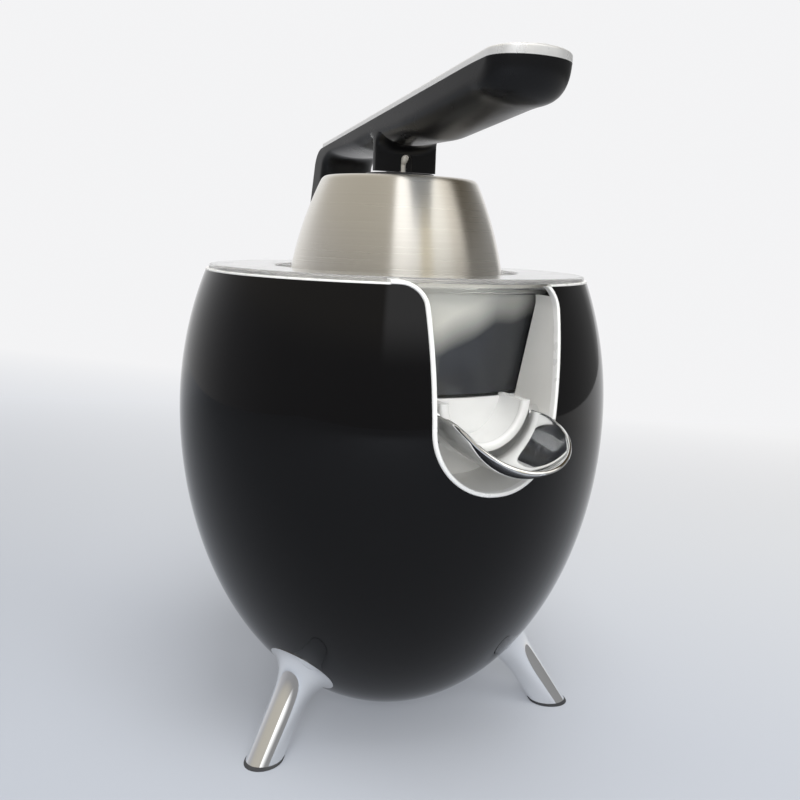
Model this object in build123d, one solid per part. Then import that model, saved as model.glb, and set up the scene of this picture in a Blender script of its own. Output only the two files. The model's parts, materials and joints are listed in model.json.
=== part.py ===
from build123d import *

import math
import os

# Lever citrus juicer. Millimetres, Z up, the table at height zero, the body's axis on Z,
# spout and lever tip towards -Y, lever hinge towards +Y.

# Overrun of cutting shapes, and the clearances between pieces
overrun = 5.0
fit = 0.1
running = 0.05
air = 0.6
quarter_turn = 90.0
half_turn = 180.0
full_turn = 360.0
curve_steps = 20
hex_sides = 6

# Egg-shaped body shell, two half ellipses turned about the axis
belly_radius = 100.0
upper_rise = 135.0
lower_drop = 145.0
base_height = 10.0
tail_cut = 7.0
rim_rise = 62.0
shell_wall = 2.5
floor_thickness = 5.0
vent_radius = 20.0
ledge_width = 9.33
ledge_thickness = 3.5
column_radius = 5.0
column_inset = 8.0
column_count = 4
column_first_angle = 45.0

# Notch in the front of the body, its bright bead and its liner
notch_depth = 80.0
notch_round_rise = 28.0
notch_half_width = 28.0
notch_spread = 0.067
notch_round_share = 0.97
notch_corner_radius = 12.0
wing_land = 3.0
bead_width = 2.2
bead_proud = 0.8
liner_wall = 1.8
recess_inset = 2.5

# Legs, pads and their screws
foot_spread = 23.2
leg_turns = {"left": -62.0, "right": 62.0, "rear": 180.0}
leg_radius = 7.6
leg_root_rise = 24.0
flange_radius = 16.5
flange_sink = 3.0
flare_start_share = 0.5
flare_sections = 5
pad_thickness = 1.6
pad_overhang = 0.3
leg_boss_radius = 6.0
leg_boss_height = 9.0
leg_screw_radius = 2.0
leg_screw_length = 26.0

# Screws: heads and the small size
head_share = 1.85
head_height_share = 1.3
recess_width_share = 0.45
recess_depth_share = 0.55
small_screw_radius = 1.5

# Base cover
cover_radius = 26.0
cover_thickness = 2.0
cover_screw_circle = 23.0
cover_screw_count = 3
cover_screw_length = 4.5
cover_slot_width = 2.4
cover_slot_length = 24.0
cover_slot_pitch = 6.0
cover_slot_count = 5

# Juice bowl and its outlet
bowl_sink = 2.0
bowl_flange = 2.5
bowl_flange_gap = 4.83
bowl_top_gap = 11.83
bowl_taper = 8.5
bowl_depth = 62.0
bowl_wall = 2.5
chimney_bore = 9.0
chimney_wall = 2.5
chimney_rise = 34.0
outlet_radius = 20.0
outlet_overhang = 19.5
lip_length = 3.0
lip_proud = 0.6

# Strainer basket
strainer_wall = 2.0
strainer_lift = 20.0
strainer_rim = 1.5
strainer_rim_width = 1.5
sieve_slot_width = 2.0
sieve_slot_length = 15.0
sieve_inner_count = 24
sieve_outer_count = 36
sieve_inner_share = 0.41
sieve_outer_share = 0.73

# Lid
lid_inset = 1.83
lid_height = 2.0
lid_plate = 1.6
lid_skirt = 2.2
lid_hole_gap = 6.5
lid_collar = 2.0
lid_collar_drop = 3.0
lid_gap_half_width = 18.0
lid_gap_room = 13.0

# Lever hinge behind the dome
hinge_inset = 12.83
hinge_rise = 18.0
hinge_pin_radius = 3.0
hinge_pin_end = 1.2
knuckle_radius = 10.0
knuckle_half_width = 9.0
ear_gap = 0.3
ear_thickness = 5.0
ear_room = 2.4
post_gap = 3.4
post_depth = 30.0
post_step = 4.0
post_screw_radius = 1.8
post_screw_bite = 1.6
post_screw_rise = 7.0
post_screw_spread = 7.0

# Lever arm and its top plate
lever_slope = 7.07
seam_rise = 52.4
lever_tip = 114.0
lever_rear_gap = 3.0
lever_bend_radius = 12.0
lever_half_width = 17.5
nose_corner = 12.0
lever_rear_half_width = 14.0
underside_drop = 12.9
front_underside_drop = 9.1
underside_flat = 42.0
underside_radius = 60.0
step_offset = 12.0
heel_gap = 19.0
heel_radius = 8.0
chin_setback = 2.0
chin_depth = 15.5
chin_radius = 14.0
pocket_setback = 12.0
nose_radius = 1.2
lever_wall = 2.5
lever_edge = 2.0
plate_thickness = 3.2
plate_gap = 9.0
plate_rear_radius = 3.0
plate_edge = 0.8
peg_radius = 2.2
peg_length = 5.0
peg_offsets = (-75.0, 36.0)

# Neck under the lever, with the socket of the dome's ball stud
neck_half_width = 15.5
neck_front = 6.5
neck_depth = 4.0
neck_drop = 21.9
ball_radius = 5.0
ball_rise = 7.5
stud_radius = 2.5
socket_gap = 0.12
stud_hole_radius = 3.4
neck_slot_half_width = 2.7
socket_boss_radius = 6.4
plug_height = 3.5

# Press dome
dome_sink = 3.0
dome_gap = 3.0
dome_low_radius = 50.5
dome_top_radius = 35.5
dome_bulge = 2.0
dome_shoulder = 2.0
dome_inner_round = 0.5
dome_wall = 1.2
cup_lift = 5.0
cup_wall = 3.2
cup_rib_count = 8
cup_rib_thickness = 2.0
cup_rib_height = 9.0
collar_radius = 17.0
collar_height = 2.0
nut_across = 9.0
nut_height = 4.0
stud_tail = 1.5

# Pouring spout
spout_axis_drop = 1.0
spout_radius = 23.0
spout_wall = 1.5
spout_overlap = 8.0
spout_straight = 32.0
spout_nose = 30.0
spout_rim_drop = 4.0
spout_rim_slope = 17.0
pivot_gap = 4.0
pivot_drop = 5.0
pivot_radius = 2.0
pivot_boss_radius = 3.6
pivot_depth = 1.2

# Motor deck with the shaft's tower
deck_drop = 22.0
deck_thickness = 3.0
bush_radius = 7.0
bush_boss_radius = 10.5
bush_above_deck = 3.0
tower_radius = 14.0
tower_bore = 10.5
tower_gap = 2.0
deck_screw_radius = 2.0
deck_screw_length = 14.0

# Gears, a compound idler between the motor pinion and the output gear
gear_module = 1.0
wheel_teeth = 60
pinion_teeth = 15
addendum_share = 0.8
dedendum_share = 1.05
pressure_angle = 20.0
backlash = 0.16
gear_face = 6.5
flank_steps = 3
gear_gap = 1.0
hub_radius = 8.0
hub_height = 3.2
hub_gap = 0.5
idler_pin_radius = 3.0
idler_seat = 1.5
case_drop = 40.0
case_floor = 3.0
case_wall = 2.5
case_gap = 3.0
lug_radius = 4.5
lug_height = 10.0
lug_bite = 2.0

# Drive shaft, its return spring, washer, seal and switch
shaft_radius = 4.0
press_travel = 2.5
hex_radius = 3.9
hex_gap = 6.0
hex_length = 18.0
collar_drop = 4.4
shaft_collar_radius = 8.0
shaft_collar_height = 2.3
washer_radius = 9.8
washer_thickness = 1.5
washer_gap = 0.3
tab_reach = 22.0
tab_half_width = 2.5
spring_radius = 7.0
spring_wire_radius = 0.6
spring_turns = 3
seal_thickness = 1.5
switch_half_length = 6.0
switch_front = 16.5
switch_depth = 6.5
switch_height = 8.0
plunger_radius = 1.2
plunger_gap = 0.1
plunger_depth = 5.0

# Reamer cone
cone_lift = 4.0
cone_skirt_radius = 38.0
cone_skirt_height = 18.0
cone_skirt_top_radius = 34.0
cone_core_radius = 27.0
cone_height = 68.0
cone_apex_radius = 3.0
cone_wall = 2.5
cone_ceiling_drop = 5.5
cone_rib_count = 10
cone_rib_thickness = 2.6
cone_rib_radius = 33.0

# Motor
motor_radius = 30.0
motor_gap = 7.0
motor_wall = 1.6
motor_plate = 2.0
end_cap_thickness = 2.0
motor_shaft_radius = 3.0
motor_bush_radius = 6.0
motor_bush_length = 6.0
rotor_radius = 20.0
rotor_air_gap = 0.5
rotor_margin_share = 0.3
winding_height = 4.0
winding_thickness = 5.0
motor_screw_circle = 18.0
motor_screw_length = 5.0
fan_gap = 7.0
fan_height = 9.0
fan_radius = 27.0
fan_hub_radius = 7.0
fan_blade_count = 7
fan_blade_thickness = 1.2
fan_blade_pitch = 35.0

# Cord gland
gland_rise = 34.0
gland_bore = 3.6
gland_body_radius = 6.5
gland_flange_radius = 9.5
gland_proud = 3.0
gland_depth = 10.0

upright = (Align.CENTER, Align.CENTER, Align.MIN)
corner = (Align.MIN, Align.MIN, Align.MIN)

# Heights of the body, each from the one before it
belly_height = base_height + lower_drop - tail_cut
rim_height = belly_height + rim_rise
rim_top = rim_height + fit + bead_width
notch_bottom = rim_height - notch_depth
notch_round_height = notch_bottom + notch_round_rise


def egg_radius(height, inset=0.0):
    reach = (upper_rise if height > belly_height else lower_drop) - inset
    return (belly_radius - inset) * math.sqrt(1 - ((height - belly_height) / reach) ** 2)


rim_radius = egg_radius(rim_height)
leg_root_height = base_height + leg_root_rise
leg_root_reach = egg_radius(leg_root_height)
foot_reach = leg_root_reach + foot_spread
ledge_radius = rim_radius - ledge_width

# Bowl, strainer and lid hang from the rim
flange_low = rim_height - bowl_sink
flange_high = flange_low + bowl_flange
bowl_flange_radius = rim_radius - bowl_flange_gap
bowl_top_radius = rim_radius - bowl_top_gap
bowl_floor_radius = bowl_top_radius - bowl_taper
bowl_floor_low = flange_low - bowl_depth
bowl_floor_high = bowl_floor_low + bowl_wall
chimney_top = bowl_floor_low + chimney_rise
outlet_reach = bowl_floor_radius + outlet_overhang
outlet_bore = outlet_radius - bowl_wall
outlet_height = bowl_floor_high + outlet_bore
recess_back = bowl_floor_radius - recess_inset
strainer_floor_low = bowl_floor_low + strainer_lift
strainer_floor_high = strainer_floor_low + strainer_wall
strainer_rim_radius = bowl_top_radius + strainer_rim_width
lid_low = rim_top
lid_top = lid_low + lid_height
lid_radius = rim_radius - lid_inset
lid_hole_radius = dome_low_radius + lid_hole_gap

# Hinge stands on the rim, and the lever and the dome hang from the hinge
hinge_offset = rim_radius - hinge_inset
hinge_height = rim_height + hinge_rise
post_front = hinge_offset + post_gap
post_low = rim_height - post_depth
ear_inner = knuckle_half_width + ear_gap
ear_outer = ear_inner + ear_thickness
lid_gap_front = hinge_offset - lid_gap_room
seam_height = hinge_height + seam_rise
lever_rear = hinge_offset - lever_rear_gap
underside_height = seam_height - underside_drop
front_underside_height = seam_height - front_underside_drop
heel_offset = hinge_offset - heel_gap
plate_rear = lever_rear - plate_gap
neck_low = seam_height - neck_drop
ball_height = neck_low + ball_rise
dome_low = rim_height - dome_sink
dome_top = neck_low - dome_gap
dome_roof = dome_top - dome_wall
cup_low = dome_low + cup_lift
cup_roof = dome_roof - fit - cup_wall

# Spout sits under the outlet
spout_axis_height = outlet_height - spout_axis_drop
spout_rim_height = spout_axis_height - spout_rim_drop
spout_rear = outlet_reach - spout_overlap
pivot_offset = spout_rear + pivot_gap
pivot_height = spout_axis_height - pivot_drop

# Deck, drive and motor hang under the bowl, the fan stands over the floor
deck_low = bowl_floor_low - deck_drop
deck_high = deck_low + deck_thickness
deck_radius = bowl_top_radius
column_circle = deck_radius - column_inset
tower_top = bowl_floor_low - tower_gap
bush_top = deck_high + bush_above_deck
case_floor_low = deck_low - case_drop
case_floor_high = case_floor_low + case_floor
wheel_low = case_floor_high + gear_gap
wheel_high = wheel_low + gear_face
output_low = wheel_high + press_travel + gear_gap
output_high = output_low + gear_face
bush_low = output_high + hub_height + hub_gap
gear_distance = gear_module * (wheel_teeth + pinion_teeth) / 2
wheel_tip_radius = gear_module * (wheel_teeth / 2 + addendum_share)
case_radius = wheel_tip_radius + case_gap
collar_low = tower_top - collar_drop
washer_low = collar_low - running - washer_thickness
hex_low = chimney_top + hex_gap
hex_top = hex_low + hex_length
cone_low = strainer_floor_high + cone_lift
cone_skirt_top = cone_low + cone_skirt_height
cone_ceiling = cone_skirt_top - cone_ceiling_drop
cone_apex = cone_low + cone_height
fan_low = base_height + floor_thickness + fan_gap
motor_low = fan_low + fan_height + motor_gap
gland_height = motor_low + gland_rise


def rod(radius, low, high, x=0, y=0):
    # Upright cylinder between two heights
    return Pos(x, y, low) * Cylinder(radius, high - low, align=upright)


def tube(outer, inner, low, high, x=0, y=0):
    return rod(outer, low, high, x, y) - rod(inner, low, high, x, y)


def cross_rod(radius, left, right, y, z):
    # Cylinder along X
    return Pos(left, y, z) * Rot(0, quarter_turn, 0) * Cylinder(radius, right - left, align=upright)


def long_rod(radius, front, back, x, z):
    # Cylinder along Y
    return Pos(x, front, z) * Rot(-quarter_turn, 0, 0) * Cylinder(radius, back - front, align=upright)


def block(low, high):
    size = [b - a for a, b in zip(low, high)]
    return Pos(*low) * Box(*size, align=corner)


def slab(low, high):
    # Wide level block between two heights
    reach = 2 * belly_radius
    return block((-reach, -reach, low), (reach, reach, high))


def turned(*points):
    # Solid of revolution about Z from (radius, height) points
    return revolve(Plane.XZ * make_face(Polyline(*points, close=True)), Axis.Z)


def around(count, first_angle=0.0):
    return [first_angle + full_turn * i / count for i in range(count)]


def whole(*shapes):
    # One node of one or more separate solids
    solids = [solid for shape in shapes for solid in shape.solids()]
    return solids[0] if len(solids) == 1 else Compound(solids)


def screw(radius, length, hole=False):
    # Pan-head screw pointing down from the origin, or only its shank for the hole
    shank = rod(radius, -length, 0)
    if hole:
        return shank
    head_radius = radius * head_share
    head_height = radius * head_height_share
    recess = Pos(0, 0, head_height) * Box(
        head_radius, radius * recess_width_share, 2 * head_height * recess_depth_share
    )
    head = rod(head_radius, 0, head_height) - recess - Rot(0, 0, quarter_turn) * recess
    return shank + head


def egg(inset, low, high):
    # The body's form between two heights, drawn in by an inset
    across = belly_radius - inset
    drop = lower_drop - inset
    rise = upper_rise - inset
    start = math.asin((low - belly_height) / drop)
    stop = math.asin((high - belly_height) / rise)
    points = []
    for i in range(curve_steps + 1):
        turn = start + (stop - start) * i / curve_steps
        reach = rise if turn > 0 else drop
        points.append((across * math.cos(turn), belly_height + reach * math.sin(turn)))
    side = Spline(*points)
    edges = [side, Polyline(side @ 1, (0, high), (0, low), side @ 0)]
    return revolve(Plane.XZ * make_face(edges), Axis.Z)


def notch_prism(inset, top):
    # The notch's U-shaped opening, drawn in by an inset, from the axis out past the front
    lean = math.atan(notch_spread)
    half_tangent = math.tan((math.pi / 2 - lean) / 2)
    sill = notch_bottom + inset
    brim = rim_height + inset

    def half_width(height, drawn_in):
        spread = notch_spread * (height - notch_round_height)
        return notch_half_width + spread - drawn_in / math.cos(lean)

    low_half = half_width(sill, inset)
    high_half = half_width(brim, inset)
    wing = half_width(rim_height, 0) + notch_corner_radius * half_tangent + wing_land
    low_round = notch_round_share * low_half / half_tangent
    high_round = notch_corner_radius + inset
    outline = FilletPolyline(
        (-wing, brim),
        (-high_half, brim),
        (-low_half, sill),
        (low_half, sill),
        (high_half, brim),
        (wing, brim),
        radius=[high_round, low_round, low_round, high_round],
    )
    closing = Polyline((wing, brim), (wing, top), (-wing, top), (-wing, brim))
    return extrude(Plane.XZ * make_face([outline, closing]), belly_radius + overrun)


def notch_ring(outer, inner):
    top = rim_height + inner
    return notch_prism(outer, top) - notch_prism(inner, top + overrun)


def leg_frame(turn):
    # Place at the foot's centre, its Z along the leg towards the body
    lean = math.degrees(math.atan2(foot_reach - leg_root_reach, leg_root_height))
    return Rot(0, 0, turn) * Pos(0, -foot_reach, 0) * Rot(-lean, 0, 0)


leg_length = math.hypot(foot_reach - leg_root_reach, leg_root_height)


def leg_form():
    # Straight round trunk with a trumpet flare that turns square to the body
    slope_r = leg_root_reach / belly_radius**2
    slope_z = (leg_root_height - belly_height) / lower_drop**2
    normal_angle = math.degrees(math.atan2(slope_r, -slope_z))
    leg_angle = math.degrees(math.atan2(foot_reach - leg_root_reach, leg_root_height))
    start = leg_length * flare_start_share
    sections = []
    for i in range(flare_sections):
        share = i / (flare_sections - 1)
        swell = 1 - math.sqrt(1 - share**2)
        height = start + (leg_length + flange_sink - start) * share
        tilt = (normal_angle - leg_angle) * share**2
        size = leg_radius + (flange_radius - leg_radius) * swell
        sections.append(Pos(0, 0, height) * Rot(-tilt, 0, 0) * Circle(size))
    return rod(leg_radius, -leg_length, start) + loft(sections)


def leg(turn):
    form = leg_frame(turn) * leg_form()
    bore = leg_frame(turn) * leg_screw(True)
    return form - slab(-belly_radius, pad_thickness) - egg(0, base_height, rim_height) - bore


def foot_pad(turn):
    form = leg_frame(turn) * rod(leg_radius + pad_overhang, -leg_length, leg_length)
    return form & slab(0, pad_thickness)


def leg_screw(hole=False):
    return Pos(0, 0, leg_length + leg_boss_height) * screw(leg_screw_radius, leg_screw_length, hole)


def column_places():
    places = []
    for angle in around(column_count, column_first_angle):
        turn = math.radians(angle)
        places.append((column_circle * math.cos(turn), column_circle * math.sin(turn)))
    return places


def body_shell():
    cavity_low = base_height + floor_thickness
    skin = egg(0, base_height, rim_height)
    shell = skin - egg(shell_wall, cavity_low, rim_height)
    inner_form = egg(shell_wall / 2, base_height, rim_height)
    ledge = tube(belly_radius, ledge_radius, flange_low - ledge_thickness, flange_low)
    shell += ledge - post_room() & inner_form
    for x, y in column_places():
        shell += rod(column_radius, base_height, deck_low, x, y) & inner_form
    for turn in leg_turns.values():
        boss = rod(leg_boss_radius, 0, leg_length + leg_boss_height)
        shell += leg_frame(turn) * boss & inner_form
    for turn in leg_turns.values():
        shell -= leg_frame(turn) * leg_screw(True)
    shell -= notch_prism(0, rim_height + overrun)
    shell -= rod(vent_radius, base_height, cavity_low)
    shell -= rod(cover_radius + fit, base_height, base_height + cover_thickness)
    shell -= cover_screw_set(True)
    shell -= deck_screw_set(True)
    shell -= post_screw_set(True)
    shell -= long_rod(gland_body_radius, 0, belly_radius, 0, gland_height)
    return shell


def rim_trim():
    ring = tube(egg_radius(rim_height), egg_radius(rim_height, shell_wall), rim_height, rim_top)
    lean = math.atan(notch_spread)
    half = notch_half_width + notch_spread * (rim_height - notch_round_height)
    half += notch_corner_radius * math.tan((math.pi / 2 - lean) / 2) + wing_land + fit
    return ring - block((-half, -belly_radius, rim_height), (half, 0, rim_top))


def notch_trim():
    zone = egg(-bead_proud, base_height, rim_top) - egg(shell_wall, base_height, rim_top)
    return notch_ring(fit, fit + bead_width) & zone


def spout_recess():
    # U-shaped tunnel from the bead to the bowl, closed below the bowl by a back wall
    inner_form = egg(shell_wall + fit, base_height, rim_height)
    below_flange = flange_low - air
    span = block((-belly_radius, -belly_radius, base_height), (belly_radius, -recess_back, below_flange))
    walls = notch_ring(fit, fit + liner_wall) & span
    back = notch_prism(fit, rim_height) & block(
        (-belly_radius, -recess_back - liner_wall, base_height),
        (belly_radius, -recess_back, bowl_floor_low - air),
    )
    bowl_room = turned(
        (0, bowl_floor_low - air),
        (bowl_floor_radius + air, bowl_floor_low - air),
        (bowl_top_radius + air, flange_low),
        (0, flange_low),
    )
    recess = (walls + back) & inner_form
    pivots = cross_rod(pivot_radius + running, -belly_radius, belly_radius, -pivot_offset, pivot_height)
    return recess - bowl_room - pivots


def base_cover():
    plate = rod(cover_radius, base_height, base_height + cover_thickness)
    slots = []
    for i in range(cover_slot_count):
        y = (i - (cover_slot_count - 1) / 2) * cover_slot_pitch
        slots.append(Pos(0, y, base_height) * Box(cover_slot_length, cover_slot_width, 2 * floor_thickness))
    return plate - slots - cover_screw_set(True)


def cover_screw_set(hole=False):
    # Screws under the base that point up into the floor
    set_of = []
    for angle in around(cover_screw_count, quarter_turn):
        spot = Rot(0, 0, angle) * Pos(cover_screw_circle, 0, base_height)
        set_of.append(spot * Rot(half_turn, 0, 0) * screw(small_screw_radius, cover_screw_length, hole))
    return whole(*set_of)


def bowl_form(inset):
    # Bowl's outside, or its cavity for an inset of the wall
    return turned(
        (0, bowl_floor_low + inset),
        (bowl_floor_radius - inset, bowl_floor_low + inset),
        (bowl_top_radius - inset, flange_low),
        (bowl_top_radius - inset, flange_high),
        (0, flange_high),
    )


def juice_bowl():
    below = block((-belly_radius, -belly_radius, 0), (belly_radius, belly_radius, outlet_height))
    pipe = long_rod(outlet_radius, -outlet_reach, -chimney_bore, 0, outlet_height)
    lip = long_rod(outlet_radius + lip_proud, -outlet_reach, lip_length - outlet_reach, 0, outlet_height)
    bore = long_rod(outlet_bore, -outlet_reach, -chimney_bore, 0, outlet_height)
    bowl = bowl_form(0) + (pipe + lip & below)
    bowl += rod(bowl_flange_radius, flange_low, flange_high)
    bowl -= bowl_form(bowl_wall)
    bowl -= bore & below
    bowl += rod(chimney_bore + chimney_wall, bowl_floor_low, chimney_top)
    bowl -= rod(chimney_bore, bowl_floor_low, chimney_top)
    return bowl - post_room()


def strainer():
    def wall_radius(height):
        slope = (bowl_top_radius - bowl_floor_radius) / (flange_low - bowl_floor_low)
        return bowl_floor_radius + slope * (height - bowl_floor_low) - bowl_wall - air

    hole = chimney_bore + chimney_wall + air
    rim_high = flange_high + strainer_rim
    basket = turned(
        (hole, strainer_floor_low),
        (wall_radius(strainer_floor_low), strainer_floor_low),
        (wall_radius(flange_low), flange_high),
        (strainer_rim_radius, flange_high),
        (strainer_rim_radius, rim_high),
        (wall_radius(flange_low) - strainer_wall, rim_high),
        (wall_radius(strainer_floor_low) - strainer_wall, strainer_floor_high),
        (hole, strainer_floor_high),
    )
    slots = []
    for count, share in ((sieve_inner_count, sieve_inner_share), (sieve_outer_count, sieve_outer_share)):
        spot = Pos(bowl_floor_radius * share, 0, strainer_floor_low + strainer_wall / 2)
        for angle in around(count):
            slots.append(Rot(0, 0, angle) * spot * Box(sieve_slot_length, sieve_slot_width, 2 * strainer_wall))
    return basket - slots


def lid():
    ring = tube(lid_radius, lid_hole_radius, lid_top - lid_plate, lid_top)
    ring += tube(lid_radius, lid_radius - lid_skirt, lid_low, lid_top)
    ring += tube(lid_hole_radius + lid_collar, lid_hole_radius, lid_low - lid_collar_drop, lid_top)
    gap = block(
        (-lid_gap_half_width, lid_gap_front, lid_low - lid_collar_drop),
        (lid_gap_half_width, belly_radius, lid_top),
    )
    return ring - gap


def post_room():
    # Room in the ledge and the bowl's flange for the foot of the hinge post
    half = ear_outer + air
    return block((-half, post_front - air, post_low), (half, belly_radius, rim_top))


def hinge_post():
    foot_top = hinge_height - knuckle_radius - post_step
    inner_form = egg(shell_wall + fit, base_height, foot_top)
    foot = block((-ear_outer, post_front, post_low), (ear_outer, belly_radius, foot_top)) & inner_form
    back = math.sqrt(egg_radius(foot_top, shell_wall + fit) ** 2 - ear_outer**2) - air
    eye = CenterArc((hinge_offset, hinge_height), knuckle_radius, 0, half_turn)
    ear_low = foot_top - post_step
    side = Polyline(eye @ 1, (post_front + air, ear_low), (back, ear_low), eye @ 0)
    ear = extrude(Plane.YZ * make_face([eye, side]), ear_thickness)
    post = foot - hinge_pin() - post_screw_set(True)
    for x in (ear_inner, -ear_outer):
        post += Pos(x, 0, 0) * ear - hinge_pin()
    return post


def hinge_pin():
    return cross_rod(
        hinge_pin_radius, -ear_outer - hinge_pin_end, ear_outer + hinge_pin_end, hinge_offset, hinge_height
    )


def post_screw_set(hole=False):
    # Screws from inside, through the post's foot into the shell
    z = post_low + post_screw_rise
    length = egg_radius(z, shell_wall) - post_front + post_screw_bite
    set_of = []
    for x in (-post_screw_spread, post_screw_spread):
        spot = Pos(x, post_front, z) * Rot(quarter_turn, 0, 0)
        set_of.append(spot * screw(post_screw_radius, length, hole))
    return whole(*set_of)


def seam(y):
    return seam_height - math.tan(math.radians(lever_slope)) * y


def lever_plan(inset):
    # Lever seen from above, drawn in by an inset, as an upright prism
    half = lever_half_width - inset
    rear_half = lever_rear_half_width - inset
    rear = hinge_offset + 2 * knuckle_radius
    tip = inset - lever_tip
    outline = Polyline(
        (-half, tip),
        (half, tip),
        (rear_half, lever_rear),
        (rear_half, rear),
        (-rear_half, rear),
        (-rear_half, lever_rear),
        close=True,
    )
    plan = make_face(outline)
    nose = plan.vertices().sort_by(Axis.Y)[:2]
    return extrude(fillet(nose, nose_corner - inset), seam_height + lever_tip)


def lever_form():
    # Outside of the arm without its neck: side outline cut to the plan
    tip_height = seam(-lever_tip)
    outline = FilletPolyline(
        (-lever_tip, tip_height),
        (chin_setback - lever_tip, tip_height - chin_depth),
        (-underside_flat, front_underside_height),
        (-neck_front, front_underside_height),
        (step_offset, underside_height),
        (heel_offset, underside_height),
        (hinge_offset - knuckle_radius, hinge_height),
        (hinge_offset + knuckle_radius, hinge_height),
        (lever_rear, seam(lever_rear)),
        radius=[
            nose_radius,
            chin_radius,
            underside_radius,
            lever_edge,
            lever_edge,
            heel_radius,
            lever_edge,
            lever_edge,
            lever_bend_radius,
        ],
        close=True,
    )
    return extrude(Plane.YZ * make_face(outline), lever_half_width, both=True) & lever_plan(0)


def lever_shell():
    form = lever_form()
    arm = form
    for left, right in ((-lever_half_width, -knuckle_half_width), (knuckle_half_width, lever_half_width)):
        arm -= cross_rod(knuckle_radius + ear_room, left, right, hinge_offset, hinge_height)
    below_hinge = block(
        (-lever_half_width, heel_offset, base_height),
        (lever_half_width, belly_radius, hinge_height),
    )
    arm -= below_hinge
    arm += cross_rod(knuckle_radius, -knuckle_half_width, knuckle_half_width, hinge_offset, hinge_height)
    arm -= lever_pocket()
    arm += block(
        (-neck_half_width, -neck_front, neck_low),
        (neck_half_width, neck_depth - neck_front, front_underside_height + lever_wall),
    )
    arm += rod(socket_boss_radius, neck_low, plug_top())
    arm -= socket_room()
    for y in peg_offsets:
        arm += rod(2 * peg_radius, underside_height, seam(y) - 2 * peg_radius, 0, y) & form
        arm -= rod(peg_radius, seam(y) - peg_length, seam(y), 0, y)
    hinge_bore = cross_rod(
        hinge_pin_radius + running, -lever_half_width, lever_half_width, hinge_offset, hinge_height
    )
    return arm - hinge_bore


def lever_pocket():
    # Hollow of the arm, open towards the top plate
    front = pocket_setback - lever_tip
    outline = Polyline(
        (front, seam(front) + overrun),
        (front, seam(front) - chin_depth / 2),
        (-underside_flat, front_underside_height + lever_wall),
        (-neck_front, front_underside_height + lever_wall),
        (step_offset, underside_height + lever_wall),
        (heel_offset - heel_radius, underside_height + lever_wall),
        (heel_offset - heel_radius, seam(heel_offset) + overrun),
        close=True,
    )
    return extrude(Plane.YZ * make_face(outline), lever_half_width, both=True) & lever_plan(lever_wall)


def plug_top():
    return ball_height + ball_radius + socket_gap + plug_height


def socket_room():
    # Ball seat, its bore from above, the stud's hole below and the slot in front
    bore = ball_radius + socket_gap
    room = Pos(0, 0, ball_height) * Sphere(bore) + rod(bore, ball_height, plug_top())
    room += rod(stud_hole_radius, neck_low, ball_height)
    half = neck_slot_half_width
    slot = block((-half, -2 * neck_front, neck_low), (half, 0, ball_height - half))
    arch = long_rod(half, -2 * neck_front, 0, 0, ball_height - half)
    return room + slot + arch


def ball_plug():
    return rod(ball_radius + socket_gap, plug_top() - plug_height, plug_top())


def lever_top_plate():
    outline = FilletPolyline(
        (-lever_tip, seam(-lever_tip)),
        (-lever_tip, seam(-lever_tip) + plate_thickness),
        (plate_rear, seam(plate_rear) + plate_thickness),
        (plate_rear, seam(plate_rear)),
        radius=[plate_edge / 2, plate_edge, plate_rear_radius, plate_edge / 2],
        close=True,
    )
    plate = extrude(Plane.YZ * make_face(outline), lever_half_width, both=True) & lever_plan(0)
    for y in peg_offsets:
        plate += rod(peg_radius, seam(y) - peg_length + fit, seam(y) + plate_thickness / 2, 0, y)
    return plate


def dome_form(inset):
    # Outside of the dome, or its hollow for an inset of the wall
    roof = dome_top - inset
    side = SagittaArc((dome_low_radius - inset, dome_low), (dome_top_radius - inset, roof), -dome_bulge)
    edges = [side, Polyline(side @ 1, (0, roof), (0, dome_low), side @ 0)]
    form = revolve(Plane.XZ * make_face(edges), Axis.Z)
    top_edge = form.edges().filter_by(GeomType.CIRCLE).sort_by(Axis.Z)[-1]
    return fillet(top_edge, max(dome_shoulder - inset, dome_inner_round))


def stud_hole():
    return rod(stud_radius, dome_low, ball_height)


def press_dome():
    return dome_form(0) - dome_form(dome_wall) - stud_hole()


def press_cup():
    gap = dome_wall + fit
    above = rod(dome_low_radius, cup_low, dome_top)
    cup = dome_form(gap) & above
    hollow = dome_form(gap + cup_wall)
    cup -= hollow
    for angle in around(cup_rib_count):
        rib = block(
            (nut_across, -cup_rib_thickness / 2, cup_roof - cup_rib_height),
            (dome_low_radius, cup_rib_thickness / 2, cup_roof),
        )
        cup += Rot(0, 0, angle) * rib & hollow
    return cup - stud_hole()


def dome_collar():
    return rod(collar_radius, dome_top, dome_top + collar_height) - stud_hole()


def ball_stud():
    tail = cup_roof - nut_height - stud_tail
    return Pos(0, 0, ball_height) * Sphere(ball_radius) + rod(stud_radius, tail, ball_height)


def stud_nut():
    nut = extrude(RegularPolygon(nut_across / 2, hex_sides, major_radius=False), nut_height)
    return Pos(0, 0, cup_roof - nut_height) * nut - rod(stud_radius, dome_low, cup_roof)


def bullet(inset, behind):
    # Round-nosed form about the spout's own axis, which points forward
    radius = spout_radius - inset
    points = []
    for i in range(curve_steps + 1):
        turn = math.pi / 2 * i / curve_steps
        rise = (spout_nose - inset) * math.sin(turn)
        points.append((radius * math.cos(turn), spout_straight + rise))
    nose = Spline(*points, tangents=[(0, 1), (-1, 0)])
    edges = [nose, Polyline(nose @ 1, (0, -behind), (radius, -behind), nose @ 0)]
    form = revolve(Plane.XZ * make_face(edges), Axis.Z)
    return Pos(0, -spout_rear, spout_axis_height) * Rot(quarter_turn, 0, 0) * form


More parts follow.
